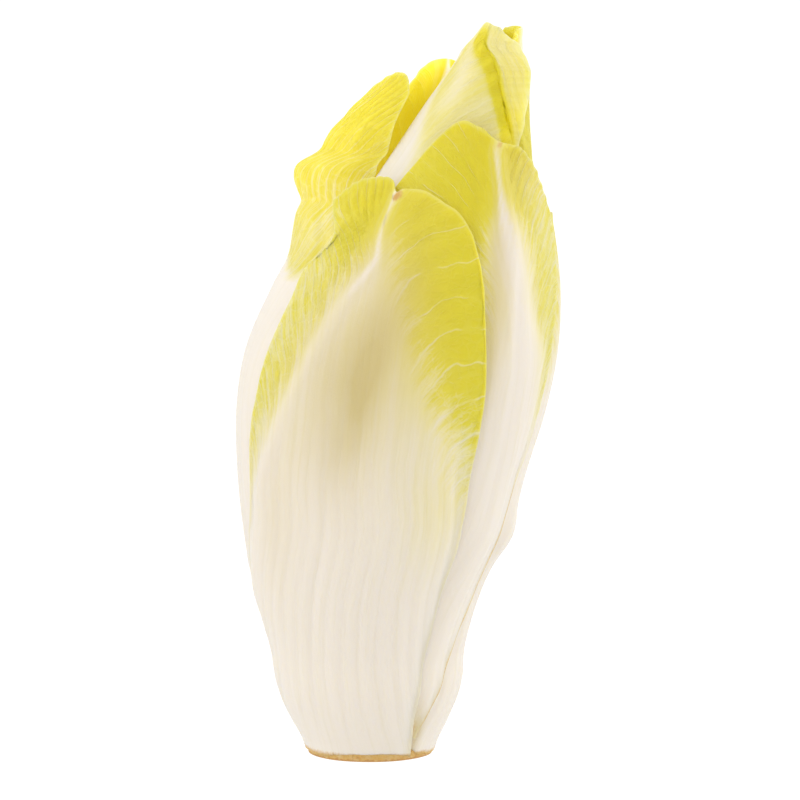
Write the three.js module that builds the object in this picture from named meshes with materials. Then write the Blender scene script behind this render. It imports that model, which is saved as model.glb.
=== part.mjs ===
// Belgian endive (witloof chicory): one trimmed head standing on the flat cut of its root core.
// Millimetres, +Z up the head, origin at the centre of the cut face, front of the head towards -Y.
// Azimuths are in degrees: 0 is the front (-Y), 90 is +X, 180 is the back.
import * as THREE from 'three';

// ---- driving dimensions -------------------------------------------------------------------

const CUT_RADIUS = 12.4;        // cut face of the core
const CUT_RING_HEIGHT = 2.0;    // rim of the cut, below the leaf bases
const CUT_ROUNDING = 0.5;       // bevel of that rim's two edges
const NECK_RADIUS = 9.2;        // core just above the rim, inside the leaves
const LEAF_FOOT = 3.0;          // height at which the outermost leaves begin
const CORE_HEIGHT = 44;         // tip of the cone inside the head
const HEAD_DEPTH_SHARE = 0.93;  // depth of the head over its width
const BUD_DEPTH_SHARE = 0.88;   // and of the bud

const BLADE = 0.8;              // thickness of a leaf at its margins
const GAP = 0.48;               // clear space between leaves that lie on each other
const GAP_GROWTH = 0.8;         // power by which that space grows with the size of the facets
const OUTER_RIB = 2.2;          // what a rib adds to the blade of an outer leaf
const BUD_RIB = 1.4;            // and of a leaf of the bud
const RIB_SHARPNESS = 1.5;      // power of the fall from a leaf's middle to its margins
const RIB_FULL_BELOW = 40;      // ribs are fully thick up to this height
const RIB_THIN_ABOVE = 112;     // and thinnest from this height up
const RIB_THIN_SHARE = 0.15;

const SWELL_LOW = 14;           // a rib stands out of its leaf between these heights
const SWELL_HIGH = 104;
const SWELL_FADE = 12;          // and runs out over this height past them
const SWELL_SHOULDER = 14;      // degrees over which it falls to the blade at its sides
const FLARE_SHARPNESS = 1.5;    // power of the curve by which a flared edge stands off
const RIPPLE_LENGTH = 26;       // one wave of a margin
const RIPPLE_SHARE = 0.2;       // share of the leaf's width that waves
const RIPPLE_LOW = 45;          // margins begin to wave at this height
const RIPPLE_HIGH = 95;         // and wave fully from this one up

const TUCK = 9;                 // degrees over which a leaf sinks as it slips under another one
const COVER_PAST_MARGIN = 2;    // degrees by which a cover is taken wider than it is
const COVER_PAST_FLAP = 6;      // the same at a margin with a flap
const COVER_ABOVE_TOP = 6.5;    // height by which a cover is taken taller than it is
const COVER_FADE = 9;           // height over which it then ends

const DEGREES_A_COLUMN = 7.5;   // facets of the outer leaves
const MILLIMETRES_A_ROW = 7;
const FEWEST_FACETS = 6;        // columns and rows that the smallest leaf still has
const FLAP_COLUMNS = 3;
const CORE_SEGMENTS = 36;
const BUD_COARSENESS = 1.45;    // leaves of the bud have larger facets
const INNER_COARSENESS = 1.8;   // and those inside it the largest
const CROWDED = 1.35;           // rows of a bud leaf stand closer towards its top

const INNER_SPAN = 200;         // degrees that a leaf inside the bud wraps
const HEART_TIP_SPAN = 150;
const INNER_FOOT_SHARE = 0.85;  // its width at the foot, and at its shoulders, over that at its waist
const INNER_SHOULDER_SHARE = 0.9;
const INNER_CROWN_SHARE = 0.5;  // width of its crown
const INNER_CROWN_RISE = 0.8;   // and how far up the crown's corners stand

// Form of the closed head: height, middle in x (the head leans to +X), half width, middle in y.
const HEAD = [
  [0, 0, 12.6, 0], [2.5, 0, 13.2, 0], [6, -0.1, 15.2, 0], [14, -0.3, 18.3, 0], [22, -0.7, 19.5, 0],
  [34, -0.5, 22.8, 0], [46, 1.3, 26.4, 0], [58, 2.4, 28.7, 0], [70, 4.2, 30.7, 0], [82, 6.4, 30.9, 0],
  [94, 9.4, 28.3, 0], [106, 13.2, 23.2, 0], [112, 15.2, 20.0, 0], [118, 17.1, 16.9, 0],
  [130, 20.9, 12.2, 0],
];
// Form of the left leaf: it follows the head, then its open blade leans away to the left and back.
const LEFT = [
  ...HEAD.filter((row) => row[0] <= 82),
  [94, 8.7, 27.9, 0.6], [100, 6.5, 22.3, 2.5], [106, 3.0, 17.0, 5.0], [113, -1.6, 13.7, 8.0],
  [116, -1.5, 12.4, 8.6], [122, 2.0, 10.9, 8.0], [130, 7.4, 9.8, 7.0], [138, 12.0, 8.4, 5.0],
];
// Form of the bud that stands inside the outer leaves.
const BUD = [
  [6, 0, 11.6, 0], [14, -0.2, 13.2, 0], [22, -0.7, 14.6, 0], [34, -0.4, 17.4, 0], [46, 1.3, 20.9, 0],
  [58, 2.4, 23.1, 0], [70, 4.2, 25.0, 0], [82, 6.6, 25.5, 0], [94, 9.7, 23.5, 0], [106, 13.7, 19.5, 0.2],
  [115, 16.6, 16.2, 0.5], [123, 19.0, 13.1, 0.5], [130, 21.2, 10.5, 0.2], [136, 23.1, 8.1, 0],
  [142, 25.2, 5.9, 0], [149, 27.4, 3.8, 0],
];

// ---- materials ----------------------------------------------------------------------------

const heartwood = new THREE.MeshStandardMaterial({ color: 0xc98a4a, roughness: 0.75, metalness: 0 });
const outerLeaf = new THREE.MeshStandardMaterial({ color: 0xe9e2c8, roughness: 0.42, metalness: 0 });
const budLeaf = new THREE.MeshStandardMaterial({ color: 0xe8de6a, roughness: 0.45, metalness: 0 });
const heartLeaf = new THREE.MeshStandardMaterial({ color: 0xf0ec9a, roughness: 0.5, metalness: 0 });

// ---- small maths --------------------------------------------------------------------------

const { clamp, degToRad, lerp, smoothstep } = THREE.MathUtils;

// Smooth value of a table of rows [x, value, value ...] at x, held constant past its ends.
function along(table, x, column = 1) {
  const last = table.length - 1;
  const at = clamp(x, table[0][0], table[last][0]);
  let i = 0;
  while (i < last - 1 && at > table[i + 1][0]) i += 1;
  const slope = (k) => {
    const a = table[Math.max(k - 1, 0)];
    const b = table[Math.min(k + 1, last)];
    return (b[column] - a[column]) / (b[0] - a[0]);
  };
  const width = table[i + 1][0] - table[i][0];
  const t = (at - table[i][0]) / width;
  const t2 = t * t;
  const t3 = t2 * t;
  return (2 * t3 - 3 * t2 + 1) * table[i][column] + (t3 - 2 * t2 + t) * width * slope(i)
    + (3 * t2 - 2 * t3) * table[i + 1][column] + (t3 - t2) * width * slope(i + 1);
}

// 1 inside the range from low to high, falling smoothly to 0 over soft past either end.
function plateau(x, low, high, soft) {
  return smoothstep(x, low - soft, low) * (1 - smoothstep(x, high, high + soft));
}

// ---- the leaves ---------------------------------------------------------------------------

// form: the closed form that the leaf lies on. rib: what its rib adds to its thickness.
// left and right: margins, rows [height, azimuth]. top: the edge between them, rows [azimuth, height].
// under: the leaves that lie over this one. ring: how many rings of the bud lie over it.
// swell: a raised zone of the rib between two lines, rows [height, azimuth], and its height in mm.
// flare: an edge that stands off the form by out, over a share of the width, from low to high.
// ripple: how far the margins wave off the form.
// flap: a margin bent to a heading, fully so from high up; rows of [height, width] and [height, drop].
// coarse: the size of its facets over that of an outer leaf's.

const front = {
  name: 'leaf_front', form: HEAD, rib: OUTER_RIB, material: outerLeaf,
  left: [[LEAF_FOOT, -97], [22, -99], [38, -84], [50, -67.5], [66, -63], [90, -57.5], [98, -61],
    [104, -55], [108, -59], [111.5, -69]],
  right: [[LEAF_FOOT, 38], [10, 33], [22, 37], [32, 39.5], [54, 37.2], [74, 34.5], [87, 30], [95.4, 26.8]],
  top: [[-64, 115], [-50, 116.3], [-40, 115.6], [-31.5, 113.2], [-28, 113.9], [-16, 113.8], [-2.4, 112],
    [9, 109.5], [16, 106.5], [22, 101.7]],
  swell: {
    left: [[20, -80], [49, -59], [58, -51.5], [66.7, -43.6], [80, -34], [93.5, -26.6], [107, -27],
      [113, -31]],
    right: [[20, 34], [48, 31], [58.5, 21], [74.5, 8], [84, 1], [93.7, -7], [107, -21.5], [113, -29]],
    height: 1.1,
  },
  flare: { edge: 'left', share: 0.3, low: 106, high: 130, soft: 11, out: 3.2 },
  ripple: 0.6,
  under: [],
};

const rightFront = {
  name: 'leaf_right_front', form: HEAD, rib: OUTER_RIB, material: outerLeaf,
  left: [[10, 6], [30, -8], [60, -30], [90, -40], [108, -41]],
  right: [[5.2, 39], [8.5, 43.5], [14.4, 51], [23, 67], [31, 80], [43, 77], [52.5, 74], [61, 76], [84, 75.5],
    [95, 77], [103, 80], [108.5, 82]],
  top: [[-39.5, 115.1], [-32, 121], [-26.6, 123.7], [-17, 126.4], [-7, 127.4], [10.5, 125.9],
    [26.5, 123.3], [46, 122.3], [60, 119.4], [72, 115]],
  swell: {
    left: [[20, 20], [50, 38], [72, 38], [92, 37], [101, 38], [112, 35], [122, 28]],
    right: [[20, 56], [50, 63], [73, 57], [82, 55], [90, 46], [102, 45], [112, 38], [122, 30]],
    height: 1.2,
  },
  under: [front],
};

const back = {
  name: 'leaf_back', form: HEAD, rib: OUTER_RIB, material: outerLeaf,
  left: [[LEAF_FOOT, 128.5], [20, 122], [50, 112], [80, 110], [98, 118]],
  right: [[LEAF_FOOT, 202.5], [20, 214], [50, 225], [78, 224], [94, 208]],
  top: [[132, 108], [150, 115], [168, 118.5], [176, 120], [184, 118], [193, 113.5], [201, 105]],
  swell: {
    left: [[10, 140], [50, 140], [90, 158], [116, 175]],
    right: [[10, 196], [50, 200], [90, 184], [116, 177]],
    height: 1.1,
  },
  ripple: 0.8,
  under: [],
};

const right = {
  name: 'leaf_right', form: HEAD, rib: OUTER_RIB, material: outerLeaf,
  left: [[LEAF_FOOT, 41], [8, 44.5], [20, 50], [40, 54], [70, 57], [90, 61], [100, 67]],
  right: [[LEAF_FOOT, 126.5], [20, 131], [50, 134], [80, 132], [98, 126]],
  top: [[75, 105.5], [90, 108.5], [105, 108], [118, 103.5]],
  swell: {
    left: [[10, 60], [40, 72], [80, 88], [106, 95]],
    right: [[10, 112], [40, 112], [80, 104], [106, 97]],
    height: 0.4,
  },
  under: [front, rightFront, back],
};

const left = {
  name: 'leaf_left', form: LEFT, rib: OUTER_RIB, material: outerLeaf,
  left: [[LEAF_FOOT, -156], [20, -158], [50, -150], [80, -148], [90, -141], [98, -132], [107, -114],
    [113, -94]],
  right: [[LEAF_FOOT, -98.5], [8, -92], [20, -75], [40, -55], [70, -45], [92, -47], [100, -48], [106, -40],
    [111, -12], [116, 6], [122, 2], [128, -10], [132.5, -14]],
  top: [[-89, 121], [-86, 128], [-78, 132.5], [-60, 135.3], [-42, 136.4], [-25, 135.6]],
  swell: {
    left: [[10, -140], [40, -132], [80, -118], [106, -100]],
    right: [[10, -100], [40, -92], [80, -98], [106, -96]],
    height: 0.4,
  },
  under: [front, back],
};

const backLeft = {
  name: 'leaf_bud_back_left', form: BUD, rib: BUD_RIB, material: budLeaf,
  coarse: BUD_COARSENESS,
  left: [[12, 168], [60, 166], [100, 168], [124, 176]],
  right: [[12, 262], [60, 264], [100, 266], [118, 267], [131, 263]],
  top: [[188, 133], [205, 137], [222, 138.6], [238, 138.2], [252, 136]],
  flare: { edge: 'right', share: 1.4, low: 127, high: 150, soft: 14, out: 5.0 },
  ripple: 0.5,
  under: [],
};

const tall = {
  name: 'leaf_bud_tall', form: BUD, rib: BUD_RIB, material: budLeaf,
  coarse: BUD_COARSENESS,
  left: [[12, -112], [40, -115], [80, -118], [115, -115], [134, -104]],
  right: [[12, 42], [100, 45], [118, 45], [123, 42.4], [127.2, 37.7], [132, 26.6], [136.6, 11.6],
    [140, -5.5], [143, -18], [144.8, -21]],
  top: [[-92, 139.5], [-62, 143.3], [-46, 145.4], [-34, 146]],
  flap: {
    width: [[12, 1.5], [118, 1.5], [123, 1.9], [127, 3.4], [131, 5.4], [136, 7.2], [140, 7.4],
      [143, 6.8], [145, 5]],
    heading: -20,
    low: 122.5,
    high: 129,
    drop: [[138, 0], [142, 1.5], [145, 4]],
  },
  under: [backLeft],
};

const rightUpper = {
  name: 'leaf_bud_right', form: BUD, rib: BUD_RIB, material: budLeaf,
  coarse: BUD_COARSENESS,
  left: [[12, 20], [60, 22], [100, 25], [122, 32]],
  right: [[12, 125], [60, 128], [100, 128], [122, 118]],
  top: [[46, 130.5], [62, 134], [78, 135], [94, 133], [108, 128]],
  under: [tall],
};

const backRight = {
  name: 'leaf_bud_back_right', form: BUD, rib: BUD_RIB, material: budLeaf,
  coarse: BUD_COARSENESS,
  left: [[12, 98], [60, 90], [100, 84], [128, 58], [139, 30]],
  right: [[12, 203], [60, 205], [100, 204], [128, 196], [138, 178]],
  top: [[28, 142.8], [42, 144], [75, 144.4], [125, 144.2], [150, 143.6], [165, 141.5]],
  under: [rightUpper, tall, backLeft],
};

// Leaves inside the bud: ring by ring they stand closer to the axis, start higher and end lower.
const RINGS = [
  { foot: 21, shoulder: 117, rib: 1.2, material: budLeaf },
  { foot: 30, shoulder: 110, rib: 1.0, material: budLeaf },
  { foot: 39, shoulder: 96, rib: 0.7, material: heartLeaf },
  { foot: 48, shoulder: 82, rib: 0.4, material: heartLeaf },
];

// A leaf inside the bud, around a middle azimuth and up to its tip.
function innerLeaf(name, ring, middle, span, tip, under) {
  const { foot, shoulder, rib, material } = RINGS[ring - 1];
  const waist = (foot + shoulder) / 2;
  const corner = lerp(shoulder, tip, INNER_CROWN_RISE);
  const margin = (side) => [
    [foot, middle + side * INNER_FOOT_SHARE * span / 2],
    [waist, middle + side * span / 2],
    [shoulder, middle + side * INNER_SHOULDER_SHARE * span / 2],
  ];
  const crown = INNER_CROWN_SHARE * span / 2;
  return {
    name, form: BUD, ring, rib, material, under, coarse: INNER_COARSENESS,
    left: margin(-1),
    right: margin(1),
    top: [[middle - crown, corner], [middle, tip], [middle + crown, corner]],
  };
}

const innerFront = innerLeaf('leaf_inner_front', 1, 20, INNER_SPAN, 136, []);
const innerBack = innerLeaf('leaf_inner_back', 1, 200, INNER_SPAN, 139, [innerFront]);
const innerLeft = innerLeaf('leaf_inner_left', 2, -70, INNER_SPAN, 128, []);
const innerRight = innerLeaf('leaf_inner_right', 2, 110, INNER_SPAN, 130, [innerLeft]);
const heartFront = innerLeaf('leaf_heart_front', 3, -10, INNER_SPAN, 110, []);
const heartBack = innerLeaf('leaf_heart_back', 3, 170, INNER_SPAN, 112, [heartFront]);
const heartTip = innerLeaf('leaf_heart_tip', 4, 60, HEART_TIP_SPAN, 92, []);

const leaves = [front, rightFront, right, back, left, tall, rightUpper, backRight, backLeft,
  innerFront, innerBack, innerLeft, innerRight, heartFront, heartBack, heartTip];

// ---- form of a leaf -----------------------------------------------------------------------

// Ribs thin out up the head.
function ribShare(z) {
  return lerp(1, RIB_THIN_SHARE, smoothstep(z, RIB_FULL_BELOW, RIB_THIN_ABOVE));
}

// Clear space kept to the leaves over this one: larger facets need more of it.
function gapOver(leaf) {
  return GAP * (leaf.coarse ?? 1) ** GAP_GROWTH;
}

// Room that one ring of the bud takes: two blades with their gaps, and a rib.
function ringDepth(leaf, z) {
  return 2 * (BLADE + gapOver(leaf)) + BUD_RIB * ribShare(z);
}

// Place of an azimuth across a leaf at a height, 0 at its left margin and 1 at its right one.
function across(leaf, azimuth, z) {
  const low = along(leaf.left, z);
  const high = along(leaf.right, z);
  const nearest = azimuth + 360 * Math.round(((low + high) / 2 - azimuth) / 360);
  return (nearest - low) / (high - low);
}

// Thickness of a leaf: full at its middle, one blade at its margins.
function thickness(leaf, azimuth, z) {
  const middle = Math.sin(Math.PI * clamp(across(leaf, azimuth, z), 0, 1)) ** RIB_SHARPNESS;
  return BLADE + leaf.rib * ribShare(z) * middle;
}

// How far a cover lies over a place: 1 under it, falling to 0 past its margins and above its top.
function covered(cover, azimuth, z) {
  const span = along(cover.right, z) - along(cover.left, z);
  const place = across(cover, azimuth, z);
  const crown = along(cover.top, along(cover.left, z) + place * span);
  const end = crown + COVER_ABOVE_TOP;
  const below = 1 - smoothstep(z, end, end + COVER_FADE);
  const past = cover.flap ? COVER_PAST_FLAP : COVER_PAST_MARGIN;
  const tuck = TUCK * (cover.coarse ?? 1);
  return below * plateau(place, -COVER_PAST_MARGIN / span, 1 + past / span, tuck / span);
}

// Depth of a leaf's outer face below its form: the rings and leaves over it, with their gaps.
function depthBelow(leaf, azimuth, z) {
  let depth = (leaf.ring ?? 0) * ringDepth(leaf, z);
  for (const cover of leaf.under) {
    depth += covered(cover, azimuth, z) * (gapOver(leaf) + thickness(cover, azimuth, z));
  }
  return depth;
}

// Raised zone of the rib, where no other leaf lies over it.
function relief(leaf, azimuth, z) {
  if (!leaf.swell) return 0;
  const low = along(leaf.swell.left, z);
  const high = along(leaf.swell.right, z);
  const raised = leaf.swell.height * plateau(azimuth, low, high, SWELL_SHOULDER)
    * plateau(z, SWELL_LOW, SWELL_HIGH, SWELL_FADE);
  return leaf.under.reduce((height, cover) => height * (1 - covered(cover, azimuth, z)), raised);
}

// How far the flared edge stands off the form, at u across the leaf.
function flared(leaf, u, z) {
  if (!leaf.flare) return 0;
  const { edge, share, low, high, soft, out } = leaf.flare;
  const inward = edge === 'left' ? u : 1 - u;
  return out * Math.max(0, 1 - inward / share) ** FLARE_SHARPNESS * plateau(z, low, high, soft);
}

// How far a free margin waves off the form, at u across the leaf.
function rippled(leaf, u, z) {
  const nearness = Math.max(0, 1 - Math.min(u, 1 - u) / RIPPLE_SHARE) ** 2;
  const wave = 0.5 + 0.5 * Math.sin(2 * Math.PI * (z / RIPPLE_LENGTH + u / 3));
  return (leaf.ripple ?? 0) * nearness * wave * smoothstep(z, RIPPLE_LOW, RIPPLE_HIGH);
}

// Middle surface point of a leaf and half its thickness there.
function leafPoint(leaf, azimuth, z, u) {
  const rise = relief(leaf, azimuth, z);
  const thick = thickness(leaf, azimuth, z) + rise;
  const inset = depthBelow(leaf, azimuth, z) - rise + thick / 2
    - flared(leaf, u, z) - rippled(leaf, u, z);
  const half = along(leaf.form, z, 2);
  const depthShare = leaf.form === BUD ? BUD_DEPTH_SHARE : HEAD_DEPTH_SHARE;
  const angle = degToRad(azimuth);
  const x = along(leaf.form, z, 1) + (half - inset) * Math.sin(angle);
  const y = along(leaf.form, z, 3) - (half * depthShare - inset) * Math.cos(angle);
  return { point: new THREE.Vector3(x, y, z), half: thick / 2 };
}

// Azimuth and height at u across and v up a leaf: a surface blended between its four edges.
function edgeBlend(leaf) {
  const swap = ([z, azimuth]) => new THREE.Vector2(azimuth, z);
  const leftEdge = new THREE.SplineCurve(leaf.left.map(swap));
  const rightEdge = new THREE.SplineCurve(leaf.right.map(swap));
  const base = new THREE.LineCurve(leftEdge.points[0], rightEdge.points[0]);
  const corners = [leftEdge.points.at(-1), rightEdge.points.at(-1)];
  const inside = leaf.top.map(([azimuth, z]) => new THREE.Vector2(azimuth, z));
  const topEdge = new THREE.SplineCurve([corners[0], ...inside, corners[1]]);
  return (u, v) => {
    const sides = leftEdge.getPointAt(v).lerp(rightEdge.getPointAt(v), u);
    const ends = base.getPointAt(u).lerp(topEdge.getPointAt(u), v);
    const low = base.getPointAt(0).lerp(base.getPointAt(1), u);
    const high = corners[0].clone().lerp(corners[1], u);
    return sides.add(ends).sub(low.lerp(high, v));
  };
}

// Columns of a flap past the right edge: each goes on in a heading that turns outwards with height.
function flapPoint(leaf, edge, azimuth, share) {
  const { width, heading, low, high, drop } = leaf.flap;
  const z = edge.point.z;
  const turned = degToRad(lerp(azimuth, heading, smoothstep(z, low, high)));
  const reach = share * along(width, z);
  const point = new THREE.Vector3(
    edge.point.x + reach * Math.cos(turned),
    edge.point.y + reach * Math.sin(turned),
    z - share * along(drop, z),
  );
  return { point, half: edge.half };
}

// Closed solid of a leaf: its two faces stand half its thickness off the middle surface.
function leafGeometry(leaf) {
  const coarse = leaf.coarse ?? 1;
  const blend = edgeBlend(leaf);
  const height = leaf.top.reduce((most, [, z]) => Math.max(most, z), 0) - leaf.left[0][0];
  const span = along(leaf.right, height / 2) - along(leaf.left, height / 2);
  const bodyColumns = Math.max(FEWEST_FACETS, Math.round(span / DEGREES_A_COLUMN / coarse));
  const flapColumns = leaf.flap ? FLAP_COLUMNS : 0;
  const columns = bodyColumns + flapColumns;
  const rows = Math.max(FEWEST_FACETS, Math.round(height / MILLIMETRES_A_ROW / coarse));

  const middle = [];
  for (let j = 0; j <= rows; j += 1) {
    const v = 1 - (1 - j / rows) ** (leaf.form === BUD ? CROWDED : 1);
    const line = [];
    for (let i = 0; i <= bodyColumns; i += 1) {
      const u = i / bodyColumns;
      const at = blend(u, v);
      line.push(leafPoint(leaf, at.x, at.y, u));
    }
    const edge = line[bodyColumns];
    const azimuth = blend(1, v).x;
    for (let k = 1; k <= flapColumns; k += 1) {
      line.push(flapPoint(leaf, edge, azimuth, k / flapColumns));
    }
    middle.push(line);
  }

  const at = (i, j) => middle[clamp(j, 0, rows)][clamp(i, 0, columns)].point;
  const faces = [[], []];
  for (let j = 0; j <= rows; j += 1) {
    for (let i = 0; i <= columns; i += 1) {
      const over = new THREE.Vector3().subVectors(at(i + 1, j), at(i - 1, j));
      const up = new THREE.Vector3().subVectors(at(i, j + 1), at(i, j - 1));
      const normal = over.cross(up).normalize().multiplyScalar(middle[j][i].half);
      faces[0].push(at(i, j).clone().add(normal));
      faces[1].push(at(i, j).clone().sub(normal));
    }
  }

  const stride = columns + 1;
  const inner = stride * (rows + 1);
  const index = [];
  const quad = (a, b, c, d) => index.push(a, b, c, a, c, d);
  for (let j = 0; j < rows; j += 1) {
    for (let i = 0; i < columns; i += 1) {
      const a = j * stride + i;
      const corners = [a, a + 1, a + 1 + stride, a + stride];
      quad(...corners);
      const [p, q, r, s] = corners.map((n) => n + inner);
      index.push(p, r, q, p, s, r);
    }
  }
  const rim = [];
  for (let i = 0; i < columns; i += 1) rim.push(i);
  for (let j = 0; j < rows; j += 1) rim.push(j * stride + columns);
  for (let i = columns; i > 0; i -= 1) rim.push(rows * stride + i);
  for (let j = rows; j > 0; j -= 1) rim.push(j * stride);
  rim.forEach((a, k) => {
    const b = rim[(k + 1) % rim.length];
    quad(a, a + inner, b + inner, b);
  });

  const geometry = new THREE.BufferGeometry().setFromPoints([...faces[0], ...faces[1]]);
  geometry.setIndex(index);
  geometry.computeVertexNormals();
  return geometry;
}

// ---- the core -----------------------------------------------------------------------------

// Cut disc with a neck inside the leaves, running out in a cone.
function coreGeometry() {
  const outline = [
    [0, 0], [CUT_RADIUS - CUT_ROUNDING, 0], [CUT_RADIUS, CUT_ROUNDING],
    [CUT_RADIUS, CUT_RING_HEIGHT - CUT_ROUNDING], [CUT_RADIUS - CUT_ROUNDING, CUT_RING_HEIGHT],
    [NECK_RADIUS, CUT_RING_HEIGHT + 0.1], [NECK_RADIUS - 0.3, 6], [7.4, 14], [4.8, 26], [2.2, 36],
    [0, CORE_HEIGHT],
  ].map(([radius, z]) => new THREE.Vector2(radius, z));
  const geometry = new THREE.LatheGeometry(outline, CORE_SEGMENTS);
  geometry.rotateX(Math.PI / 2);
  return geometry;
}

// ---- assembly -----------------------------------------------------------------------------

function named(name, geometry, material) {
  const mesh = new THREE.Mesh(geometry, material);
  mesh.name = name;
  return mesh;
}

const endive = new THREE.Group();
endive.add(named('core', coreGeometry(), heartwood));
for (const leaf of leaves) endive.add(named(leaf.name, leafGeometry(leaf), leaf.material));

export default endive;
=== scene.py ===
"""Belgian endive: a trimmed head of leaves wrapped round a bud, standing on the cut of its core.

Each leaf is a grid laid over the closed form of the head, given its thickness, ribs and waved
margins, and coloured from cream at the foot to yellow in the blade. Azimuths are in degrees:
0 is the front (-Y), 90 is +X, 180 is the back. Tables are in millimetres, meshes in metres.
"""

import math
from dataclasses import dataclass, field
from functools import partial

import bpy
import numpy as np
from bpy.props import FloatProperty, FloatVectorProperty, IntProperty, PointerProperty
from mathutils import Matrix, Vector, noise


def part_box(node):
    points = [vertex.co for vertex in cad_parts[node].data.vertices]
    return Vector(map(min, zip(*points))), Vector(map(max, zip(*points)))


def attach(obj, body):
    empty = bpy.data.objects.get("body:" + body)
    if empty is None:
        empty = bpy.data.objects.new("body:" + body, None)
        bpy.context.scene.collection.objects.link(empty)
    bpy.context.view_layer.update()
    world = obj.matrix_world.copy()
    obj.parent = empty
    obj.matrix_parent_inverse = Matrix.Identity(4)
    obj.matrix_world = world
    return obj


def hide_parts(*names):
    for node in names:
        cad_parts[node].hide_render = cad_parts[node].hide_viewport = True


bl_info = {
    "name": "Belgian Endive",
    "version": (1, 0, 0),
    "blender": (4, 5, 0),
    "location": "View3D > Sidebar > Endive",
    "description": "Models a head of Belgian endive leaf by leaf, with its stage",
    "category": "Add Mesh",
}

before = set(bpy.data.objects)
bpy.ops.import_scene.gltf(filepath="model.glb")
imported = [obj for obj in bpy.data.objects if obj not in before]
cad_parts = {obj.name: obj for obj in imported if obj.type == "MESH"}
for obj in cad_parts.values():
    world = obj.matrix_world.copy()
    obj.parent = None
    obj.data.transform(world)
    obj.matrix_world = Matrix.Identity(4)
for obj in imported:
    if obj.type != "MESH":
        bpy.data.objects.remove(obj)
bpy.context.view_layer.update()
BODY = "root"
MM = 0.001

# ---- form of the head -----------------------------------------------------------------------

CUT_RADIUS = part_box("core")[1].x / MM
LEAF_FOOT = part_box("leaf_front")[0].z / MM
HEAD_DEPTH_SHARE = 0.93  # depth of the head over its width
BUD_DEPTH_SHARE = 0.88  # and of the bud

# Rows of height, middle in x (the head leans to +X), half width, middle in y.
HEAD = [
    [0, 0, 12.6, 0], [2.5, 0, 13.2, 0], [6, -0.1, 15.2, 0], [14, -0.3, 18.3, 0],
    [22, -0.7, 19.5, 0], [34, -0.5, 22.8, 0], [46, 1.3, 26.4, 0], [58, 2.4, 28.7, 0],
    [70, 4.2, 30.7, 0], [82, 6.4, 30.9, 0], [94, 9.4, 28.3, 0], [106, 13.2, 23.2, 0],
    [112, 15.2, 20.0, 0], [118, 17.1, 16.9, 0], [130, 20.9, 12.2, 0],
]
# The left leaf follows the head, then its open blade leans away to the left and back.
LEFT = HEAD[:10] + [
    [94, 8.7, 27.9, 0.6], [98.6, 7.1, 23.7, 1.9], [101, 5.8, 21.6, 2.9], [104.5, 3.5, 18.7, 4.4],
    [108.2, 1.4, 16.0, 6.0], [110.6, 0.2, 13.9, 7.0], [113.1, -1.1, 13.5, 8.0],
    [115.5, -2.2, 13.1, 8.5], [117.8, -1.8, 12.8, 8.5], [120.3, 0.9, 11.4, 8.2],
    [122.7, 2.1, 11.2, 7.9], [125.1, 3.6, 11.1, 7.6], [130, 7.4, 9.9, 7.0],
    [134.8, 10.7, 8.6, 5.9], [138, 12.5, 7.9, 5.0],
]
# The bud stands inside the outer leaves.
BUD = [
    [6, 0, 11.6, 0], [14, -0.2, 13.2, 0], [22, -0.7, 14.6, 0], [34, -0.4, 17.4, 0],
    [46, 1.3, 20.9, 0], [58, 2.4, 23.1, 0], [70, 4.2, 25.0, 0], [82, 6.6, 25.5, 0],
    [94, 9.7, 23.5, 0], [106, 13.7, 19.5, 0.2], [115, 16.6, 16.2, 0.5], [123, 19.0, 13.1, 0.5],
    [130, 21.2, 10.5, 0.2], [136, 23.1, 8.1, 0], [142, 25.2, 5.9, 0], [149, 27.4, 3.8, 0],
]

# ---- sizes of the leaves ----------------------------------------------------------------------

BLADE = 0.8  # thickness of a leaf at its margins
GAP = 0.48  # clear space between leaves that lie on each other
GAP_GROWTH = 0.8  # power by which that space grows with a leaf's looseness
BUD_LOOSENESS = 1.45
INNER_LOOSENESS = 1.8

OUTER_RIB = 2.2  # what a rib adds to the blade of an outer leaf
BUD_RIB = 1.4  # and of a leaf of the bud
RIB_SHARPNESS = 1.5  # power of the fall from a leaf's middle to its margins
RIB_THINS = (40, 112)  # heights between which ribs thin out
RIB_THIN_SHARE = 0.15  # what is left of them at the top

SWELL_RUN = (14, 104)  # a rib stands out of its leaf between these heights
SWELL_FADE = 12  # and runs out over this height past them
SWELL_SHOULDER = 14  # degrees over which it falls to the blade at its sides
SWELL_TO_MARGIN = 8  # low down it falls over this width before the margins
LOW_SWELL_SHARE = 0.6  # its height at the foot over its full one
SWELL_GROWS = (14, 50)  # heights between which it grows from one to the other

FLARE_SHARPNESS = 1.5  # power of the curve by which a flared edge stands off
RIPPLE_LENGTH = 26  # height of one wave of a margin
RIPPLE_SHARE = 0.2  # share of the leaf's width that waves, at either margin
RIPPLE_GROWS = (45, 95)  # heights between which the waves grow
FLAP_COLUMNS_SHARE = 0.24  # share of a leaf's columns that its flap takes

TUCK = 9  # degrees over which a leaf sinks as it slips under another one
COVER_PAST_MARGIN = 0.6  # degrees by which a cover counts as wider than it is
COVER_PAST_FLAP = 6  # the same at a margin with a flap
COVER_ABOVE_TOP = 6.5  # height by which a cover counts as taller than it is
CURLED_ABOVE_TOP = 0.5  # the same where its tip curls
COVER_FADE = 9  # height over which it then ends

LEAVES_PART = (50, 80)  # heights between which flush margins come to stand off the leaf below
NESTLE_WIDTH = 2.2  # width beside a cover's margin where the leaf below comes up to it
NESTLE_SHARE = 0.65  # share of its depth that it loses there
LOW_NESTLE_SHARE = 0.72  # and where margins lie flush
LOW_EDGE_SHARE = 0.45  # share of the thickness left at the edge of a flush margin

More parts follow.
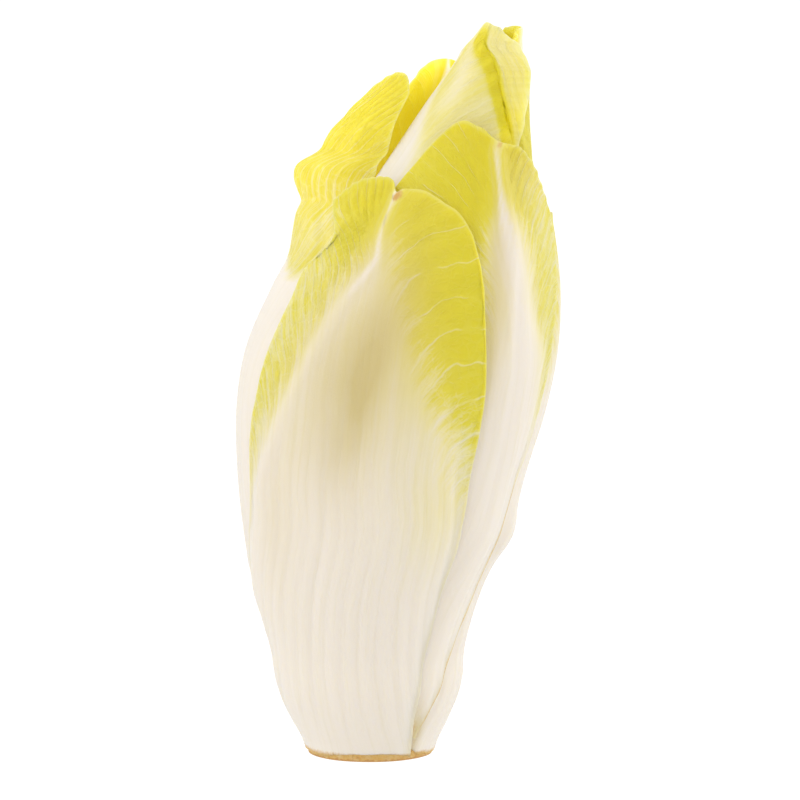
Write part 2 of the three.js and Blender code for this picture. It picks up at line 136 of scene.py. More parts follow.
INNER_SPAN = 200  # degrees that a leaf inside the bud wraps
HEART_TIP_SPAN = 150
INNER_FOOT_SHARE = 0.85  # width at its foot, over that at its waist
INNER_SHOULDER_SHARE = 0.9  # at its shoulders
INNER_CROWN_SHARE = 0.5  # and at the corners of its crown
INNER_CROWN_RISE = 0.8  # how far up from the shoulders to the tip those corners stand
INNER_RIB_SHARE = 0.2  # width of its pale rib over its own
INNER_CROWN_TINT = 12  # height below the shoulders where the yellow of the crown starts

EDGE_STEPS = 200  # steps by which a margin's length is walked
MARGIN_CROWDING = 0.6  # how much columns crowd at the margins of a leaf with no flap
TOP_CROWDING = 0.35  # and rows at the top

# ---- small forms and finish of the leaves --------------------------------------------------------

LIP_WIDTH = 1.4  # width over which the margins curl out
LIP_GROWS = (30, 60)  # heights between which that lip grows
FLUTE_SPACING = 3.4
FLUTES_START = (3, 16)  # heights between which the flutes of the ribs grow
FLUTES_END = (45, 95)  # and fade out
BLISTER_LENGTH = 6
SWERVE_LENGTH = 22  # length of the slow unevenness of a leaf
SWERVE_GROWS = (10, 40)  # heights between which it grows
PUCKERS_START = (1, 5)  # distances from the rib between which puckers grow
PUCKERS_END = 4  # width beside the margins where they fade out
CREST_FADE = 8  # height over which a crest runs out
PRESS_FADE = 12  # and the press of a margin
NIBBLE_LENGTH = 7  # one bite of an uneven margin
NIBBLE_DEPTH = 3  # and how far into the leaf it is felt
NIBBLE_GROWS = (15, 50)  # heights between which bites grow
CURL_SHARPNESS = 1.5  # power of the curve by which a tip leans out
LIFT_FADE = 5  # height over which a tip is drawn up
FOOT_DROP = 1.2  # how far feet are drawn down onto the core's rim
FOOT_REACH = 1.6  # how far up a leaf that is felt
FOOT_ENDS = (LEAF_FOOT + 2, LEAF_FOOT + 4)  # heights between which it ends on a higher foot
FOOT_RAGGED = 0.35  # unevenness of that drop
THIN_BLADE = (0.2, 0.7)  # yellowness at which a blade starts to thin, and is thinnest

TINT_SLANT = 0.8  # how much lower the yellow starts for each millimetre away from the rib
TINT_OVER_RIB = 0.25  # share of its width by which it reaches onto the rib
TINT_RAGGED = 1.6  # unevenness of its lower border
TINT_FULL_WIDTH = 30  # half width of the head from which the yellow has its full width
MIDRIB_FADE = 6  # height over which a midrib runs out
SEAM_FADE = 10  # and a browned seam
FOOT_BROWN = 0.9  # browning of the feet of the outer leaves
FOOT_BROWN_HEIGHT = 0.5  # and how far up it goes
LOW_MARGIN_SHADE = 0.4  # painted shade: faint khaki line along their margins, where they lie flush on the leaf below
LOW_MARGIN_WIDTH = 0.9

FOLD_GROWS = (117, 124)  # heights between which the finish of a folded margin grows
VALLEY_SHADE = 1.1  # painted shade: deeper yellow of the valley along the fold
VALLEY_ENDS = (142.5, 145)  # heights between which that fades out
VALLEY_SHIFT = 0.4  # how far before the fold it is deepest
VALLEY_WIDTHS = (1.7, 0.5)  # its half width on the leaf, and on the flap
FLAP_BORDER = 0.8  # width over which the yellow changes to the flap's own
FLAP_TONES = (0.68, 0.45)  # yellow of the flap low down, and high up
FLAP_PALES = (126, 142)  # heights between which it changes
FLAP_VEIN_BORDER = 0.2  # width over which the veins change to the flap's own
FLAP_VEINS = 0.5  # veins in a millimetre across the flap
FLAP_WEFT = 1.5  # and the same for its feathering
FLAP_DRIFT = 0.04  # what both gain in a millimetre of height


@dataclass
class Leaf:
    """A leaf on a form. Its lines are rows of height and azimuth.

    left, right: its margins. top: the edge between them, as azimuth and height. rib: what its rib
    adds to the blade. under: leaves over this one. ring: rings of the bud over it. loose: how
    much room it keeps to other leaves. swell: the raised rib, with its two sides and height.
    flare, ripple, flap, press: what its margins do. curl: how its tip leans out. lift: how far
    its tip stands above the top edge. crests: raised lines, with a half width, a height, and the
    heights where they run. midribs: paler lines, or yellower ones with a strength below 0.
    dents, bruises, glows, stains, gleams: places as spots() reads them. Dents lie deeper,
    bruises are brown, glows yellower, stains are khaki painted shade in hollows and creases, and
    gleams are painted light that glows from the leaf.
    rib_left, rib_right: sides of the pale rib, by default those of the swell. tint: start and
    full height of the yellow, then its strength at the top, or its width, strength and slant
    on either side. veins: spacing, climb and reach of the veins on either side. seam: a browned
    margin. frayed: how uneven its margins are. columns, rows: its grid.
    """

    node: str
    form: list
    rib: float
    left: list
    right: list
    top: list
    tint: dict
    veins: dict
    slot: str
    under: tuple = ()
    ring: int = 0
    loose: float = 1.0
    swell: dict = None
    flare: dict = None
    ripple: float = 0.0
    flap: dict = None
    press: dict = field(default_factory=dict)
    curl: dict = None
    lift: dict = None
    crests: list = field(default_factory=list)
    midribs: list = field(default_factory=list)
    dents: list = field(default_factory=list)
    bruises: list = field(default_factory=list)
    glows: list = field(default_factory=list)
    stains: list = field(default_factory=list)
    gleams: list = field(default_factory=list)
    rib_left: list = None
    rib_right: list = None
    seam: dict = None
    frayed: float = 1.0
    columns: int = 84
    rows: int = 120


# ---- small maths ------------------------------------------------------------------------------


def smooth(x, low, high):
    """0 below low, 1 above high, and a smooth step between."""
    t = np.clip((x - low) / (high - low), 0, 1)
    return t * t * (3 - 2 * t)


def plateau(x, low, high, soft):
    """1 from low to high, falling smoothly to 0 over soft past either end."""
    return smooth(x, low - soft, low) * (1 - smooth(x, high, high + soft))


def bell(distance, half):
    """1 at no distance, falling to about a third at half."""
    return np.exp(-((distance / half) ** 2))


def spots(places, azimuth, z):
    """Soft spots: each place has an azimuth, a height, a half width, a half height and a strength."""
    for middle, height, half_width, half_height, strength in places:
        yield strength * bell(azimuth - middle, half_width) * bell(z - height, half_height)


def mixed(a, b, share):
    """The value at share of the way from a to b."""
    return a + (b - a) * share


def along(table, x, column=1):
    """Smooth value of a table's column at x, held constant past the table's ends."""
    rows = np.asarray(table, float)
    knots, values = rows[:, 0], rows[:, column]
    last = len(knots) - 1
    at = np.clip(x, knots[0], knots[-1])
    i = np.searchsorted(knots[1:-1], at)
    before = np.maximum(np.arange(last + 1) - 1, 0)
    after = np.minimum(np.arange(last + 1) + 1, last)
    slopes = (values[after] - values[before]) / (knots[after] - knots[before])
    width = knots[i + 1] - knots[i]
    t = (at - knots[i]) / width
    return (
        (2 * t**3 - 3 * t**2 + 1) * values[i]
        + (t**3 - 2 * t**2 + t) * width * slopes[i]
        + (3 * t**2 - 2 * t**3) * values[i + 1]
        + (t**3 - t**2) * width * slopes[i + 1]
    )


class Edge:
    """A smooth line through points of azimuth and height, walked by its length."""

    def __init__(self, points):
        self.points = np.asarray(points, float)
        self.steps = np.linspace(0, 1, EDGE_STEPS + 1)
        walk = np.linalg.norm(np.diff(self.at_step(self.steps), axis=0), axis=1)
        self.walked = np.concatenate([[0], np.cumsum(walk)]) / walk.sum()

    def at_step(self, step):
        """The place at a share of the way through the list of points."""
        last = len(self.points) - 1
        place = np.asarray(step) * last
        i = np.minimum(place.astype(int), last)
        t = (place - i)[..., None]
        a, b, c, d = (self.points[np.clip(i + k, 0, last)] for k in (-1, 0, 1, 2))
        before, after = (c - a) / 2, (d - b) / 2
        cubic = 2 * b - 2 * c + before + after
        square = 3 * c - 3 * b - 2 * before - after
        return cubic * t**3 + square * t**2 + before * t + b

    def at(self, share):
        """The place at a share of the line's length."""
        return self.at_step(np.interp(share, self.walked, self.steps))


def crinkle(points, length, seed):
    """Smooth noise from -1 to 1 at points in millimetres, with bumps of that length."""
    shift = Vector((seed * 17.3, seed * 5.1, seed * 9.7))
    flat = points.reshape(-1, 3) / length
    values = [noise.noise(Vector(p) + shift) for p in flat]
    return np.array(values).reshape(points.shape[:-1])


# ---- the leaves -------------------------------------------------------------------------------

outer_leaf = partial(Leaf, rib=OUTER_RIB, slot="outer_leaf")
bud_leaf = partial(Leaf, form=BUD, rib=BUD_RIB, slot="bud_leaf", loose=BUD_LOOSENESS)


def both(side):
    """The same on either side of a leaf."""
    return dict(left=side, right=side)


# The ridge that runs up the front leaf to its tip.
FRONT_RIDGE = [
    [20, -84], [49, -61], [58, -53], [66.7, -45], [80, -35], [88, -31], [94, -27.5],
    [100.4, -22.5], [104, -25], [107.8, -28], [113, -32],
]

front = outer_leaf(
    node="leaf_front", form=HEAD,
    left=[[LEAF_FOOT, -97], [22, -99], [38, -84], [50, -67.5], [66, -63], [90, -57.5], [98, -61],
          [104, -55], [108, -59], [111.5, -69]],
    right=[[LEAF_FOOT, 38], [10, 33], [22, 37], [32, 39.5], [54, 37.2], [74, 34.5], [87, 30],
           [95.4, 26.8]],
    top=[[-64, 115], [-50, 116.3], [-40, 115.6], [-31.5, 113.2], [-28, 113.9], [-16, 113.8],
         [-2.4, 112], [9, 109.5], [16, 106.5], [22, 101.7]],
    swell=dict(
        left=[[20, -80], [49, -59], [58, -51.5], [66.7, -43.6], [80, -34], [93.5, -26.6],
              [107, -27], [113, -31]],
        right=[[20, 34], [48, 31], [58.5, 21], [74.5, 8], [84, 1], [93.7, -7], [107, -21.5],
               [113, -29]],
        height=1.1,
    ),
    flare=dict(edge="left", share=0.3, low=112, high=130, soft=9, out=3.2),
    ripple=0.15,
    crests=[
        dict(line=FRONT_RIDGE, width=1.7, height=0.3, low=34, high=110),
        dict(line=[[10, -34], [29, -29], [50, -22], [71, -18], [80, -16]], width=1.9,
             height=-0.25, low=12, high=66),
        dict(line=[[20, 5], [50, 2], [70, 0]], width=3.0, height=0.25, low=10, high=60),
    ],
    rib_left=[[20, -80], [49, -58], [58, -50], [66.7, -42], [80, -33], [88, -29], [94, -26],
              [100, -23], [107, -28.5], [113, -32]],
    rib_right=[[20, 34], [48, 31], [58.5, 20], [74.5, 6], [84, -2], [93.7, -12], [100, -19],
               [107, -26], [113, -30.5]],
    midribs=[
        dict(line=FRONT_RIDGE[6:], width=0.6, low=98, high=111, strength=0.45),
        dict(line=[[38, -68], [50, -61], [58, -53], [66.7, -45], [80, -35.5], [88, -31],
                   [94, -27.5], [100.4, -22.5]], width=3.0, low=48, high=96, strength=0.15),
    ],
    tint=dict(left=(44, 84, 12, 0.62), right=(44, 94, 14, 1.08), top=(101, 113, 0.9)),
    veins=dict(left=(2.6, 34, 16), right=(6.5, 11, 7)),
    dents=[(-14, 77, 10, 18, 0.8), (-27, 94, 5, 8, 0.3), (-92, 21, 30, 8, 0.6)],
    # Painted shade in khaki over the dents and the middle of the leaf, where less light falls.
    stains=[(-12, 75, 5, 9, 0.4), (-8, 88, 9, 11, 0.35), (-17, 64, 7, 10, 0.12),
            (-17, 80, 22, 22, 0.6), (-48, 52, 12, 18, 0.22), (-28, 100, 10, 7, 0.12)],
    glows=[(-26, 98, 22, 17, 0.12), (-42, 74, 12, 16, 0.12), (-2, 84, 22, 20, 0.25),
           (-36, 108, 18, 6, 0.6), (-30, 101, 10, 6, 0.05), (25, 55, 14, 13, 0.22),
           (28, 68, 9, 8, -0.14), (-55, 93, 10, 8, -0.06)],
    press=dict(left=(-20, 92), right=(-20, 84)),
    bruises=[(-29.5, 112.6, 2.4, 1.2, 1.0)],
    frayed=0.6,
)

right_front = outer_leaf(
    node="leaf_right_front", form=HEAD,
    left=[[10, 6], [30, -8], [60, -30], [90, -40], [108, -41]],
    right=[[5.2, 39], [8.5, 43.5], [14.4, 51], [23, 62], [31, 70], [43, 70], [52.5, 69], [61, 71],
           [84, 73], [95, 76], [103, 80], [108.5, 82]],
    top=[[-39.5, 115.1], [-32, 121], [-26.6, 123.7], [-17, 126.4], [-7, 127.4], [10.5, 125.9],
         [26.5, 123.3], [46, 122.3], [60, 119.4], [72, 115]],
    swell=dict(
        left=[[20, 20], [50, 38], [72, 38], [92, 37], [101, 38], [112, 35], [122, 28]],
        right=[[20, 56], [50, 63], [73, 57], [82, 55], [90, 46], [102, 45], [112, 38], [122, 30]],
        height=1.2,
    ),
    under=(front,),
    crests=[
        dict(line=[[20, 24], [50, 39], [72, 39], [92, 38], [101, 38.5], [112, 35], [123, 28]],
             width=1.3, height=0.5, low=40, high=120),
        dict(line=[[20, 44], [50, 54], [80, 50], [100, 42]], width=1.5, height=0.25, low=20, high=96),
    ],
    rib_left=[[20, 20], [50, 38], [72, 38], [92, 37], [101, 33], [108, 30.5], [115.6, 28.5],
              [121.5, 25.5]],
    rib_right=[[20, 56], [50, 63], [73, 57], [82, 54], [92, 46], [101, 41.5], [108, 37],
               [115.6, 32], [121.5, 27]],
    midribs=[dict(line=[[88, 43], [101, 38], [108, 34.5], [115.6, 30.5], [121.5, 26]],
                  width=0.7, low=88, high=118, strength=0.6)],
    tint=dict(left=(60, 98, 12, 1.15), right=(60, 96, 9, 0.64), top=(104, 120, 0.8)),
    glows=[(30, 116, 12, 8, 0.7), (46, 117, 12, 8, 0.24)],
    veins=dict(left=(4.2, 26, 12), right=(3.6, 22, 11)),
    bruises=[(27, 122.9, 2.2, 1.0, 0.8), (37, 6.8, 3.5, 3.0, 0.5)],
    # Painted shade in khaki: beside the front leaf's margin, in the hollow between the feet, and below the
    # top.
    stains=[(33, 90, 6, 22, 0.5), (37, 7.5, 5, 5, 0.6), (52, 117, 18, 9, 0.25)],
    seam=dict(edge="right", low=10, high=52, width=[[4, 0.5], [24, 0.6], [36, 0.9], [80, 1.1]],
              strength=0.66),
    press=dict(right=(-20, 84)),
)

back = outer_leaf(
    node="leaf_back", form=HEAD,
    left=[[LEAF_FOOT, 128.5], [20, 122], [50, 112], [80, 110], [98, 118]],
    right=[[LEAF_FOOT, 202.5], [20, 214], [50, 225], [78, 224], [94, 208]],
    top=[[132, 108], [150, 115], [168, 118.5], [176, 120], [184, 118], [193, 113.5], [201, 105]],
    swell=dict(
        left=[[10, 140], [50, 140], [90, 158], [116, 175]],
        right=[[10, 196], [50, 200], [90, 184], [116, 177]],
        height=1.1,
    ),
    ripple=0.8,
    tint=dict(left=(44, 78, 9, 0.95), right=(46, 74, 8, 0.9), top=(98, 114, 0.8)),
    veins=dict(left=(6.0, 13, 8), right=(5.2, 15, 8)),
    bruises=[(176, 118.6, 2.4, 1.2, 0.8)],
    press=both((-20, 84)),
)

right = outer_leaf(
    node="leaf_right", form=HEAD,
    left=[[LEAF_FOOT, 31], [8, 35], [20, 44], [40, 54], [70, 57], [90, 61], [100, 67]],
    right=[[LEAF_FOOT, 126.5], [20, 131], [50, 134], [80, 132], [98, 126]],
    top=[[75, 105.5], [90, 108.5], [105, 108], [118, 103.5]],
    swell=dict(
        left=[[10, 60], [40, 72], [80, 88], [106, 95]],
        right=[[10, 112], [40, 112], [80, 104], [106, 97]],
        height=0.4,
    ),
    under=(front, right_front, back),
    tint=dict(left=(70, 100, 9, 0.7), right=(52, 86, 8, 0.85), top=(92, 106, 0.75)),
    veins=dict(left=(4.0, 18, 9), right=(4.6, 15, 8)),
    bruises=[(41, 6, 3.5, 4, 0.5)],
    # Painted shade in khaki in the hollow between the feet.
    stains=[(41, 7, 4.5, 6, 0.6)],
    dents=[(86, 45, 24, 4, -1.1)],
)

left = outer_leaf(
    node="leaf_left", form=LEFT,
    left=[[LEAF_FOOT, -156], [20, -158], [50, -150], [80, -148], [90, -141], [98, -132],
          [107, -114], [113, -94]],
    right=[[LEAF_FOOT, -98.5], [8, -92], [20, -75], [40, -55], [70, -45], [92, -44], [100, -40],
           [104, -32], [108, -18], [111, -4], [116, 16], [119, 15], [123, 10], [128, -1],
           [132.5, -8]],
    top=[[-89, 121], [-86, 128], [-78, 132.5], [-60, 135.3], [-42, 136.4], [-25, 135.6]],
    swell=dict(
        left=[[10, -140], [40, -132], [80, -118], [106, -100]],
        right=[[10, -100], [40, -92], [80, -98], [106, -96]],
        height=0.4,
    ),
    under=(front, back),
    tint=dict(left=(58, 94, 9, 0.75), right=(98, 100.8, 3, 0.62, 0.15), top=(100, 116, 0.62)),
    glows=[(-40, 128, 100, 14, 0.35)],
    veins=dict(left=(4.0, 60, 20), right=(5.0, 90, 24)),
    dents=[(-95, 21, 32, 8, 0.6)],
    # Painted light: a glow over the blade, and a spot that brightens the crease under the front leaf's
    # margin.
    gleams=[(-60, 122, 70, 18, 0.24), (-42, 102.5, 6, 3.5, 0.15)],
    frayed=0.4,
    rows=132,
)

back_left = bud_leaf(
    node="leaf_bud_back_left",
    left=[[12, 168], [60, 166], [100, 168], [124, 176]],
    right=[[12, 262], [60, 264], [100, 266], [118, 267], [131, 263]],
    top=[[188, 133], [205, 137], [222, 138.6], [238, 138.2], [252, 136]],
    flare=dict(edge="right", share=1.4, low=127, high=150, soft=14, out=5.0),
    curl=dict(start=130, full=139, out=3.2),
    # Painted light: the blade glowing as if from behind, and a bright facet at its tip.
    gleams=[(222, 120, 200, 60, 0.32), (238, 137.5, 12, 4, 0.3)],
    ripple=0.5,
    rib_left=[[12, 190], [100, 200], [130, 214], [138, 221]],
    rib_right=[[12, 240], [100, 232], [130, 224], [138, 222]],
    tint=dict(left=(80, 112, 5, 0.9), right=(80, 112, 5, 0.92), top=(118, 132, 0.92)),
    veins=both((4.4, 16, 8)),
    columns=72, rows=112,
)

tall = bud_leaf(
    node="leaf_bud_tall",
    left=[[12, -112], [40, -115], [80, -118], [115, -115], [134, -104]],
    right=[[12, 42], [100, 45], [118, 45], [123, 42.4], [127.2, 37.7], [132, 26.6], [136.6, 13],
           [138.6, 2], [140.2, -10], [141.6, -27], [142.9, -37], [144, -38.5], [145.2, -38.5],
           [146.3, -38.5]],
    top=[[-94, 139], [-73, 142.0], [-66, 143.0], [-60, 144.2], [-56, 145.3],
         [-51, 146.1], [-45, 146.4]],
    flap=dict(
        width=[[12, 1.5], [118, 1.5], [123, 1.9], [127, 3.4], [131, 5.4], [136, 7.2], [140, 7.9],
               [142, 8.1], [143.4, 7.3], [144.6, 4.6], [146.3, 1.6]],
        heading=-20, low=122.5, high=129,
        drop=[[138, 0], [142, 0.8], [144, 1.2], [146.3, 1.4]],
    ),
    under=(back_left,),
    frayed=0.25,
    rib_left=[[12, -75], [100, -110], [122, -112], [136, -88], [146, -88]],
    rib_right=[[12, 0], [90, -30], [110, -44], [120, -48], [125, -56], [130, -68], [136, -78],
               [146, -84]],
    glows=[(-75, 140, 30, 9, 0.2)],
    midribs=[
        dict(line=[[118, 40], [123, 36], [127.2, 31], [132, 19], [136.6, 5], [138.6, -7],
                   [140.2, -18], [141.6, -34], [142.9, -46]],
             width=0.8, low=112, high=142, strength=-0.62),
        dict(line=[[128, -45], [134, -36], [139, -48], [143, -66]],
             width=2.6, low=132, high=150, strength=0.25),
    ],
    tint=dict(left=(90, 120, 5, 0.4), right=(96, 118, 20, 0.46), top=(136, 142, 0.4)),
    veins=dict(left=(5, 20, 9), right=(6.5, 18, 9)),
    # Painted light: a faint glow on the blade, and a bright patch near the fold.
    gleams=[(-60, 135, 80, 20, 0.03), (38, 125, 12, 8, 0.16)],
    columns=104, rows=132,
)

right_upper = bud_leaf(
    node="leaf_bud_right",
    left=[[12, 20], [60, 22], [100, 25], [122, 32]],
    right=[[12, 125], [60, 128], [100, 128], [122, 118]],
    top=[[46, 130.5], [62, 134], [78, 135], [94, 133], [108, 128]],
    under=(tall,),
    rib_left=[[12, 50], [80, 84], [134, 96]],
    rib_right=[[12, 100], [80, 102], [134, 98]],
    tint=dict(both((84, 112, 6, 0.85)), top=(114, 130, 0.8)),
    veins=both((4.4, 18, 9)),
    columns=64, rows=112,
)

back_right = bud_leaf(
    node="leaf_bud_back_right",
    left=[[12, 98], [60, 90], [100, 84], [128, 58], [139, 30], [142.4, 26]],
    right=[[12, 203], [60, 205], [100, 204], [128, 196], [138, 178]],
    top=[[42, 143.4], [60, 143.9], [80, 144.3], [110, 144.8], [140, 144.9],
         [160, 144.6], [172, 143.8]],
    curl=dict(start=138, full=145, out=-1.0),
    under=(right_upper, tall, back_left),
    rib_left=[[12, 125], [100, 130], [142, 104]],
    rib_right=[[12, 175], [100, 160], [142, 108]],
    tint=dict(left=(84, 116, 6, 0.3), right=(84, 116, 6, 0.9), top=(139.5, 142, 1.15)),
    lift=dict(azimuth=125, width=100, height=0.8, start=138),
    # Painted light along the top edge.
    gleams=[(60, 143, 60, 3, 0.25)],
    frayed=0.0,
    veins=both((4.4, 18, 9)),
    columns=72, rows=120,
)

# Rings of leaves inside the bud: closer to the axis, they start higher and end lower.
# foot and shoulder are heights.
RINGS = [
    dict(foot=21, shoulder=117, rib=1.2, slot="bud_leaf"),
    dict(foot=30, shoulder=110, rib=1.0, slot="bud_leaf"),
    dict(foot=39, shoulder=96, rib=0.7, slot="heart_leaf"),
    dict(foot=48, shoulder=82, rib=0.4, slot="heart_leaf"),
]


def inner_leaf(node, ring, middle, span, tip, under=()):
    """A leaf inside the bud, round a middle azimuth and up to its tip."""
    shape = RINGS[ring - 1]
    foot, shoulder = shape["foot"], shape["shoulder"]
    half = span / 2
    corner = mixed(shoulder, tip, INNER_CROWN_RISE)

    def margin(side, share=1.0):
        return [
            [foot, middle + side * share * INNER_FOOT_SHARE * half],
            [(foot + shoulder) / 2, middle + side * share * half],
            [shoulder, middle + side * share * INNER_SHOULDER_SHARE * half],
        ]

    crown = INNER_CROWN_SHARE * half
    return Leaf(
        node=node, form=BUD, rib=shape["rib"], slot=shape["slot"], ring=ring, under=under,
        loose=INNER_LOOSENESS, left=margin(-1), right=margin(1),
        top=[[middle - crown, corner], [middle, tip], [middle + crown, corner]],
        rib_left=margin(-1, INNER_RIB_SHARE), rib_right=margin(1, INNER_RIB_SHARE),
        tint=dict(both((50, 100, 9, 0.7)), top=(shoulder - INNER_CROWN_TINT, tip, 0.8)),
        veins=both((4.5, 18, 9)),
        columns=44, rows=56,
    )


inner_front = inner_leaf("leaf_inner_front", 1, 20, INNER_SPAN, 136)
inner_back = inner_leaf("leaf_inner_back", 1, 200, INNER_SPAN, 139, (inner_front,))
inner_left = inner_leaf("leaf_inner_left", 2, -70, INNER_SPAN, 128)
inner_right = inner_leaf("leaf_inner_right", 2, 110, INNER_SPAN, 130, (inner_left,))
heart_front = inner_leaf("leaf_heart_front", 3, -10, INNER_SPAN, 110)
heart_back = inner_leaf("leaf_heart_back", 3, 170, INNER_SPAN, 112, (heart_front,))
heart_tip = inner_leaf("leaf_heart_tip", 4, 60, HEART_TIP_SPAN, 92)

OUTER_LEAVES = [front, right_front, right, back, left]
BUD_LEAVES = [tall, right_upper, back_right, back_left]
INNER_LEAVES = [inner_front, inner_back, inner_left, inner_right, heart_front, heart_back, heart_tip]


# ---- form of a leaf ---------------------------------------------------------------------------


def degree_length(leaf, z):
    """Length of one degree round a leaf's form, at a height."""
    return np.radians(1) * along(leaf.form, z, 2)


def parted(z):
    """0 where margins lie flush with the leaf below, and 1 where they stand off."""
    return smooth(z, *LEAVES_PART)


def rib_share(z):
    """Ribs thin out up the head."""
    return mixed(1, RIB_THIN_SHARE, smooth(z, *RIB_THINS))


def gap_over(leaf):
    """Clear space kept to the leaves over this one."""
    return GAP * leaf.loose**GAP_GROWTH


def place_across(leaf, azimuth, z):
    """Place of an azimuth across a leaf: 0 at its left margin and 1 at its right one."""
    low, high = along(leaf.left, z), along(leaf.right, z)
    nearest = azimuth + 360 * np.round(((low + high) / 2 - azimuth) / 360)
    return (nearest - low) / (high - low)


def inside_margins(leaf, azimuth, z):
    """Distance in millimetres from the nearer side margin, below 0 outside the leaf."""
    place = place_across(leaf, azimuth, z)
    width = (along(leaf.right, z) - along(leaf.left, z)) * degree_length(leaf, z)
    return np.minimum(place, 1 - place) * width


def thickness(leaf, azimuth, z):
    """Thickness of a leaf: full at its middle, one blade at its margins."""
    middle = np.sin(np.pi * np.clip(place_across(leaf, azimuth, z), 0, 1)) ** RIB_SHARPNESS
    return BLADE + leaf.rib * rib_share(z) * middle


def covered(cover, azimuth, z):
    """How far a cover lies over a place: 1 under it, falling to 0 past its margins and top."""
    span = along(cover.right, z) - along(cover.left, z)
    place = place_across(cover, azimuth, z)
    above = CURLED_ABOVE_TOP if cover.curl else COVER_ABOVE_TOP
    end = along(cover.top, along(cover.left, z) + place * span) + above
    past = COVER_PAST_FLAP if cover.flap else COVER_PAST_MARGIN
    sides = plateau(place, -COVER_PAST_MARGIN / span, 1 + past / span, TUCK * cover.loose / span)
    return sides * (1 - smooth(z, end, end + COVER_FADE))


def nestled(cover, azimuth, z):
    """Share of its depth that a leaf keeps under a cover, less beside the cover's margins."""
    if cover.flap:
        return 1
    inside = inside_margins(cover, azimuth, z)
    lost = mixed(LOW_NESTLE_SHARE, NESTLE_SHARE, parted(z))
    return 1 - lost * bell(np.maximum(inside, 0), NESTLE_WIDTH)


def depth_below(leaf, azimuth, z):
    """Depth of a leaf's outer face below its form: what lies over it, with the gaps."""
    ring_depth = 2 * (BLADE + gap_over(leaf)) + BUD_RIB * rib_share(z)
    depth = leaf.ring * ring_depth
    for cover in leaf.under:
        lower = covered(cover, azimuth, z) * nestled(cover, azimuth, z)
        depth = depth + lower * (gap_over(leaf) + thickness(cover, azimuth, z))
    return depth


def bare_share(leaf, azimuth, z):
    """1 where no leaf lies over this one."""
    share = np.ones_like(z)
    for cover in leaf.under:
        share = share * (1 - covered(cover, azimuth, z))
    return share


def swollen(leaf, azimuth, z):
    """How far the rib is raised where no leaf lies over it; low down that ends at the margins."""
    if not leaf.swell:
        return np.zeros_like(z)
    low, high = along(leaf.swell["left"], z), along(leaf.swell["right"], z)
    raised = leaf.swell["height"] * plateau(azimuth, low, high, SWELL_SHOULDER)
    margins = smooth(inside_margins(leaf, azimuth, z), 0, SWELL_TO_MARGIN)
    raised = raised * mixed(margins, 1, parted(z))
    height = mixed(LOW_SWELL_SHARE, 1, smooth(z, *SWELL_GROWS))
    run = plateau(z, *SWELL_RUN, SWELL_FADE)
    return raised * height * run * bare_share(leaf, azimuth, z)


def flared(leaf, u, z):
    """How far the flared edge stands off the form."""
    flare = leaf.flare
    if not flare:
        return 0
    inward = u if flare["edge"] == "left" else 1 - u
    curve = np.maximum(0, 1 - inward / flare["share"]) ** FLARE_SHARPNESS
    return flare["out"] * curve * plateau(z, flare["low"], flare["high"], flare["soft"])


def rippled(leaf, u, z):
    """How far a free margin waves off the form."""
    nearness = np.maximum(0, 1 - np.minimum(u, 1 - u) / RIPPLE_SHARE) ** 2
    wave = 0.5 + 0.5 * np.sin(2 * np.pi * (z / RIPPLE_LENGTH + u / 3))
    return leaf.ripple * nearness * wave * smooth(z, *RIPPLE_GROWS)


def blended(leaf, u, v):
    """Azimuth and height at u across and v up a leaf, blended between its four edges."""
    left_edge = Edge([(azimuth, z) for z, azimuth in leaf.left])
    right_edge = Edge([(azimuth, z) for z, azimuth in leaf.right])
    foot = (left_edge.points[0], right_edge.points[0])
    crown = (left_edge.points[-1], right_edge.points[-1])
    top_edge = Edge([crown[0], *leaf.top, crown[1]])
    u2, v2 = u[..., None], v[..., None]
    sides = mixed(left_edge.at(v), right_edge.at(v), u2)
    ends = mixed(mixed(*foot, u2), top_edge.at(u), v2)
    corners = mixed(mixed(*foot, u2), mixed(*crown, u2), v2)
    place = sides + ends - corners
    return place[..., 0], place[..., 1]


def surface(leaf, u, v):
    """Middle surface of a leaf in millimetres, with thickness, azimuth and height."""
    azimuth, z = blended(leaf, u, v)
    rise = swollen(leaf, azimuth, z)
    thick = thickness(leaf, azimuth, z) + rise
    inset = depth_below(leaf, azimuth, z) - rise + thick / 2
    inset = inset - flared(leaf, u, z) - rippled(leaf, u, z)
    half = along(leaf.form, z, 2)
    depth_share = BUD_DEPTH_SHARE if leaf.form is BUD else HEAD_DEPTH_SHARE
    angle = np.radians(azimuth)
    x = along(leaf.form, z, 1) + (half - inset) * np.sin(angle)
    y = along(leaf.form, z, 3) - (half * depth_share - inset) * np.cos(angle)
    return np.stack([x, y, z], -1), thick, azimuth, z


def with_flap(leaf, points, share, azimuth):
    """Columns past the right edge go on in a heading that turns outwards with height."""
    z = points[..., 2]
    turn = smooth(z, leaf.flap["low"], leaf.flap["high"])
    heading = np.radians(mixed(azimuth, leaf.flap["heading"], turn))
    reach = share * along(leaf.flap["width"], z)
    fall = share * along(leaf.flap["drop"], z)
    past = np.stack([reach * np.cos(heading), reach * np.sin(heading), -fall], -1)
    return np.where(share[..., None] > 0, points + past, points)


def grid_places(leaf):
    """u across, v up and share of the flap for each column and row, closer at the margins."""
    step = np.linspace(0, 1, leaf.columns + 1)
    rise = np.linspace(0, 1, leaf.rows + 1)
    if leaf.flap:
        body = 1 - FLAP_COLUMNS_SHARE
        across = np.clip(step / body, 0, 1)
        flap = np.clip((step - body) / (1 - body), 0, 1)
    else:
        across = mixed(step, (1 - np.cos(np.pi * step)) / 2, MARGIN_CROWDING)
        flap = 0 * step
    u, v = np.meshgrid(across, mixed(rise, np.sin(np.pi * rise / 2), TOP_CROWDING))
    return u, v, np.broadcast_to(flap, u.shape)


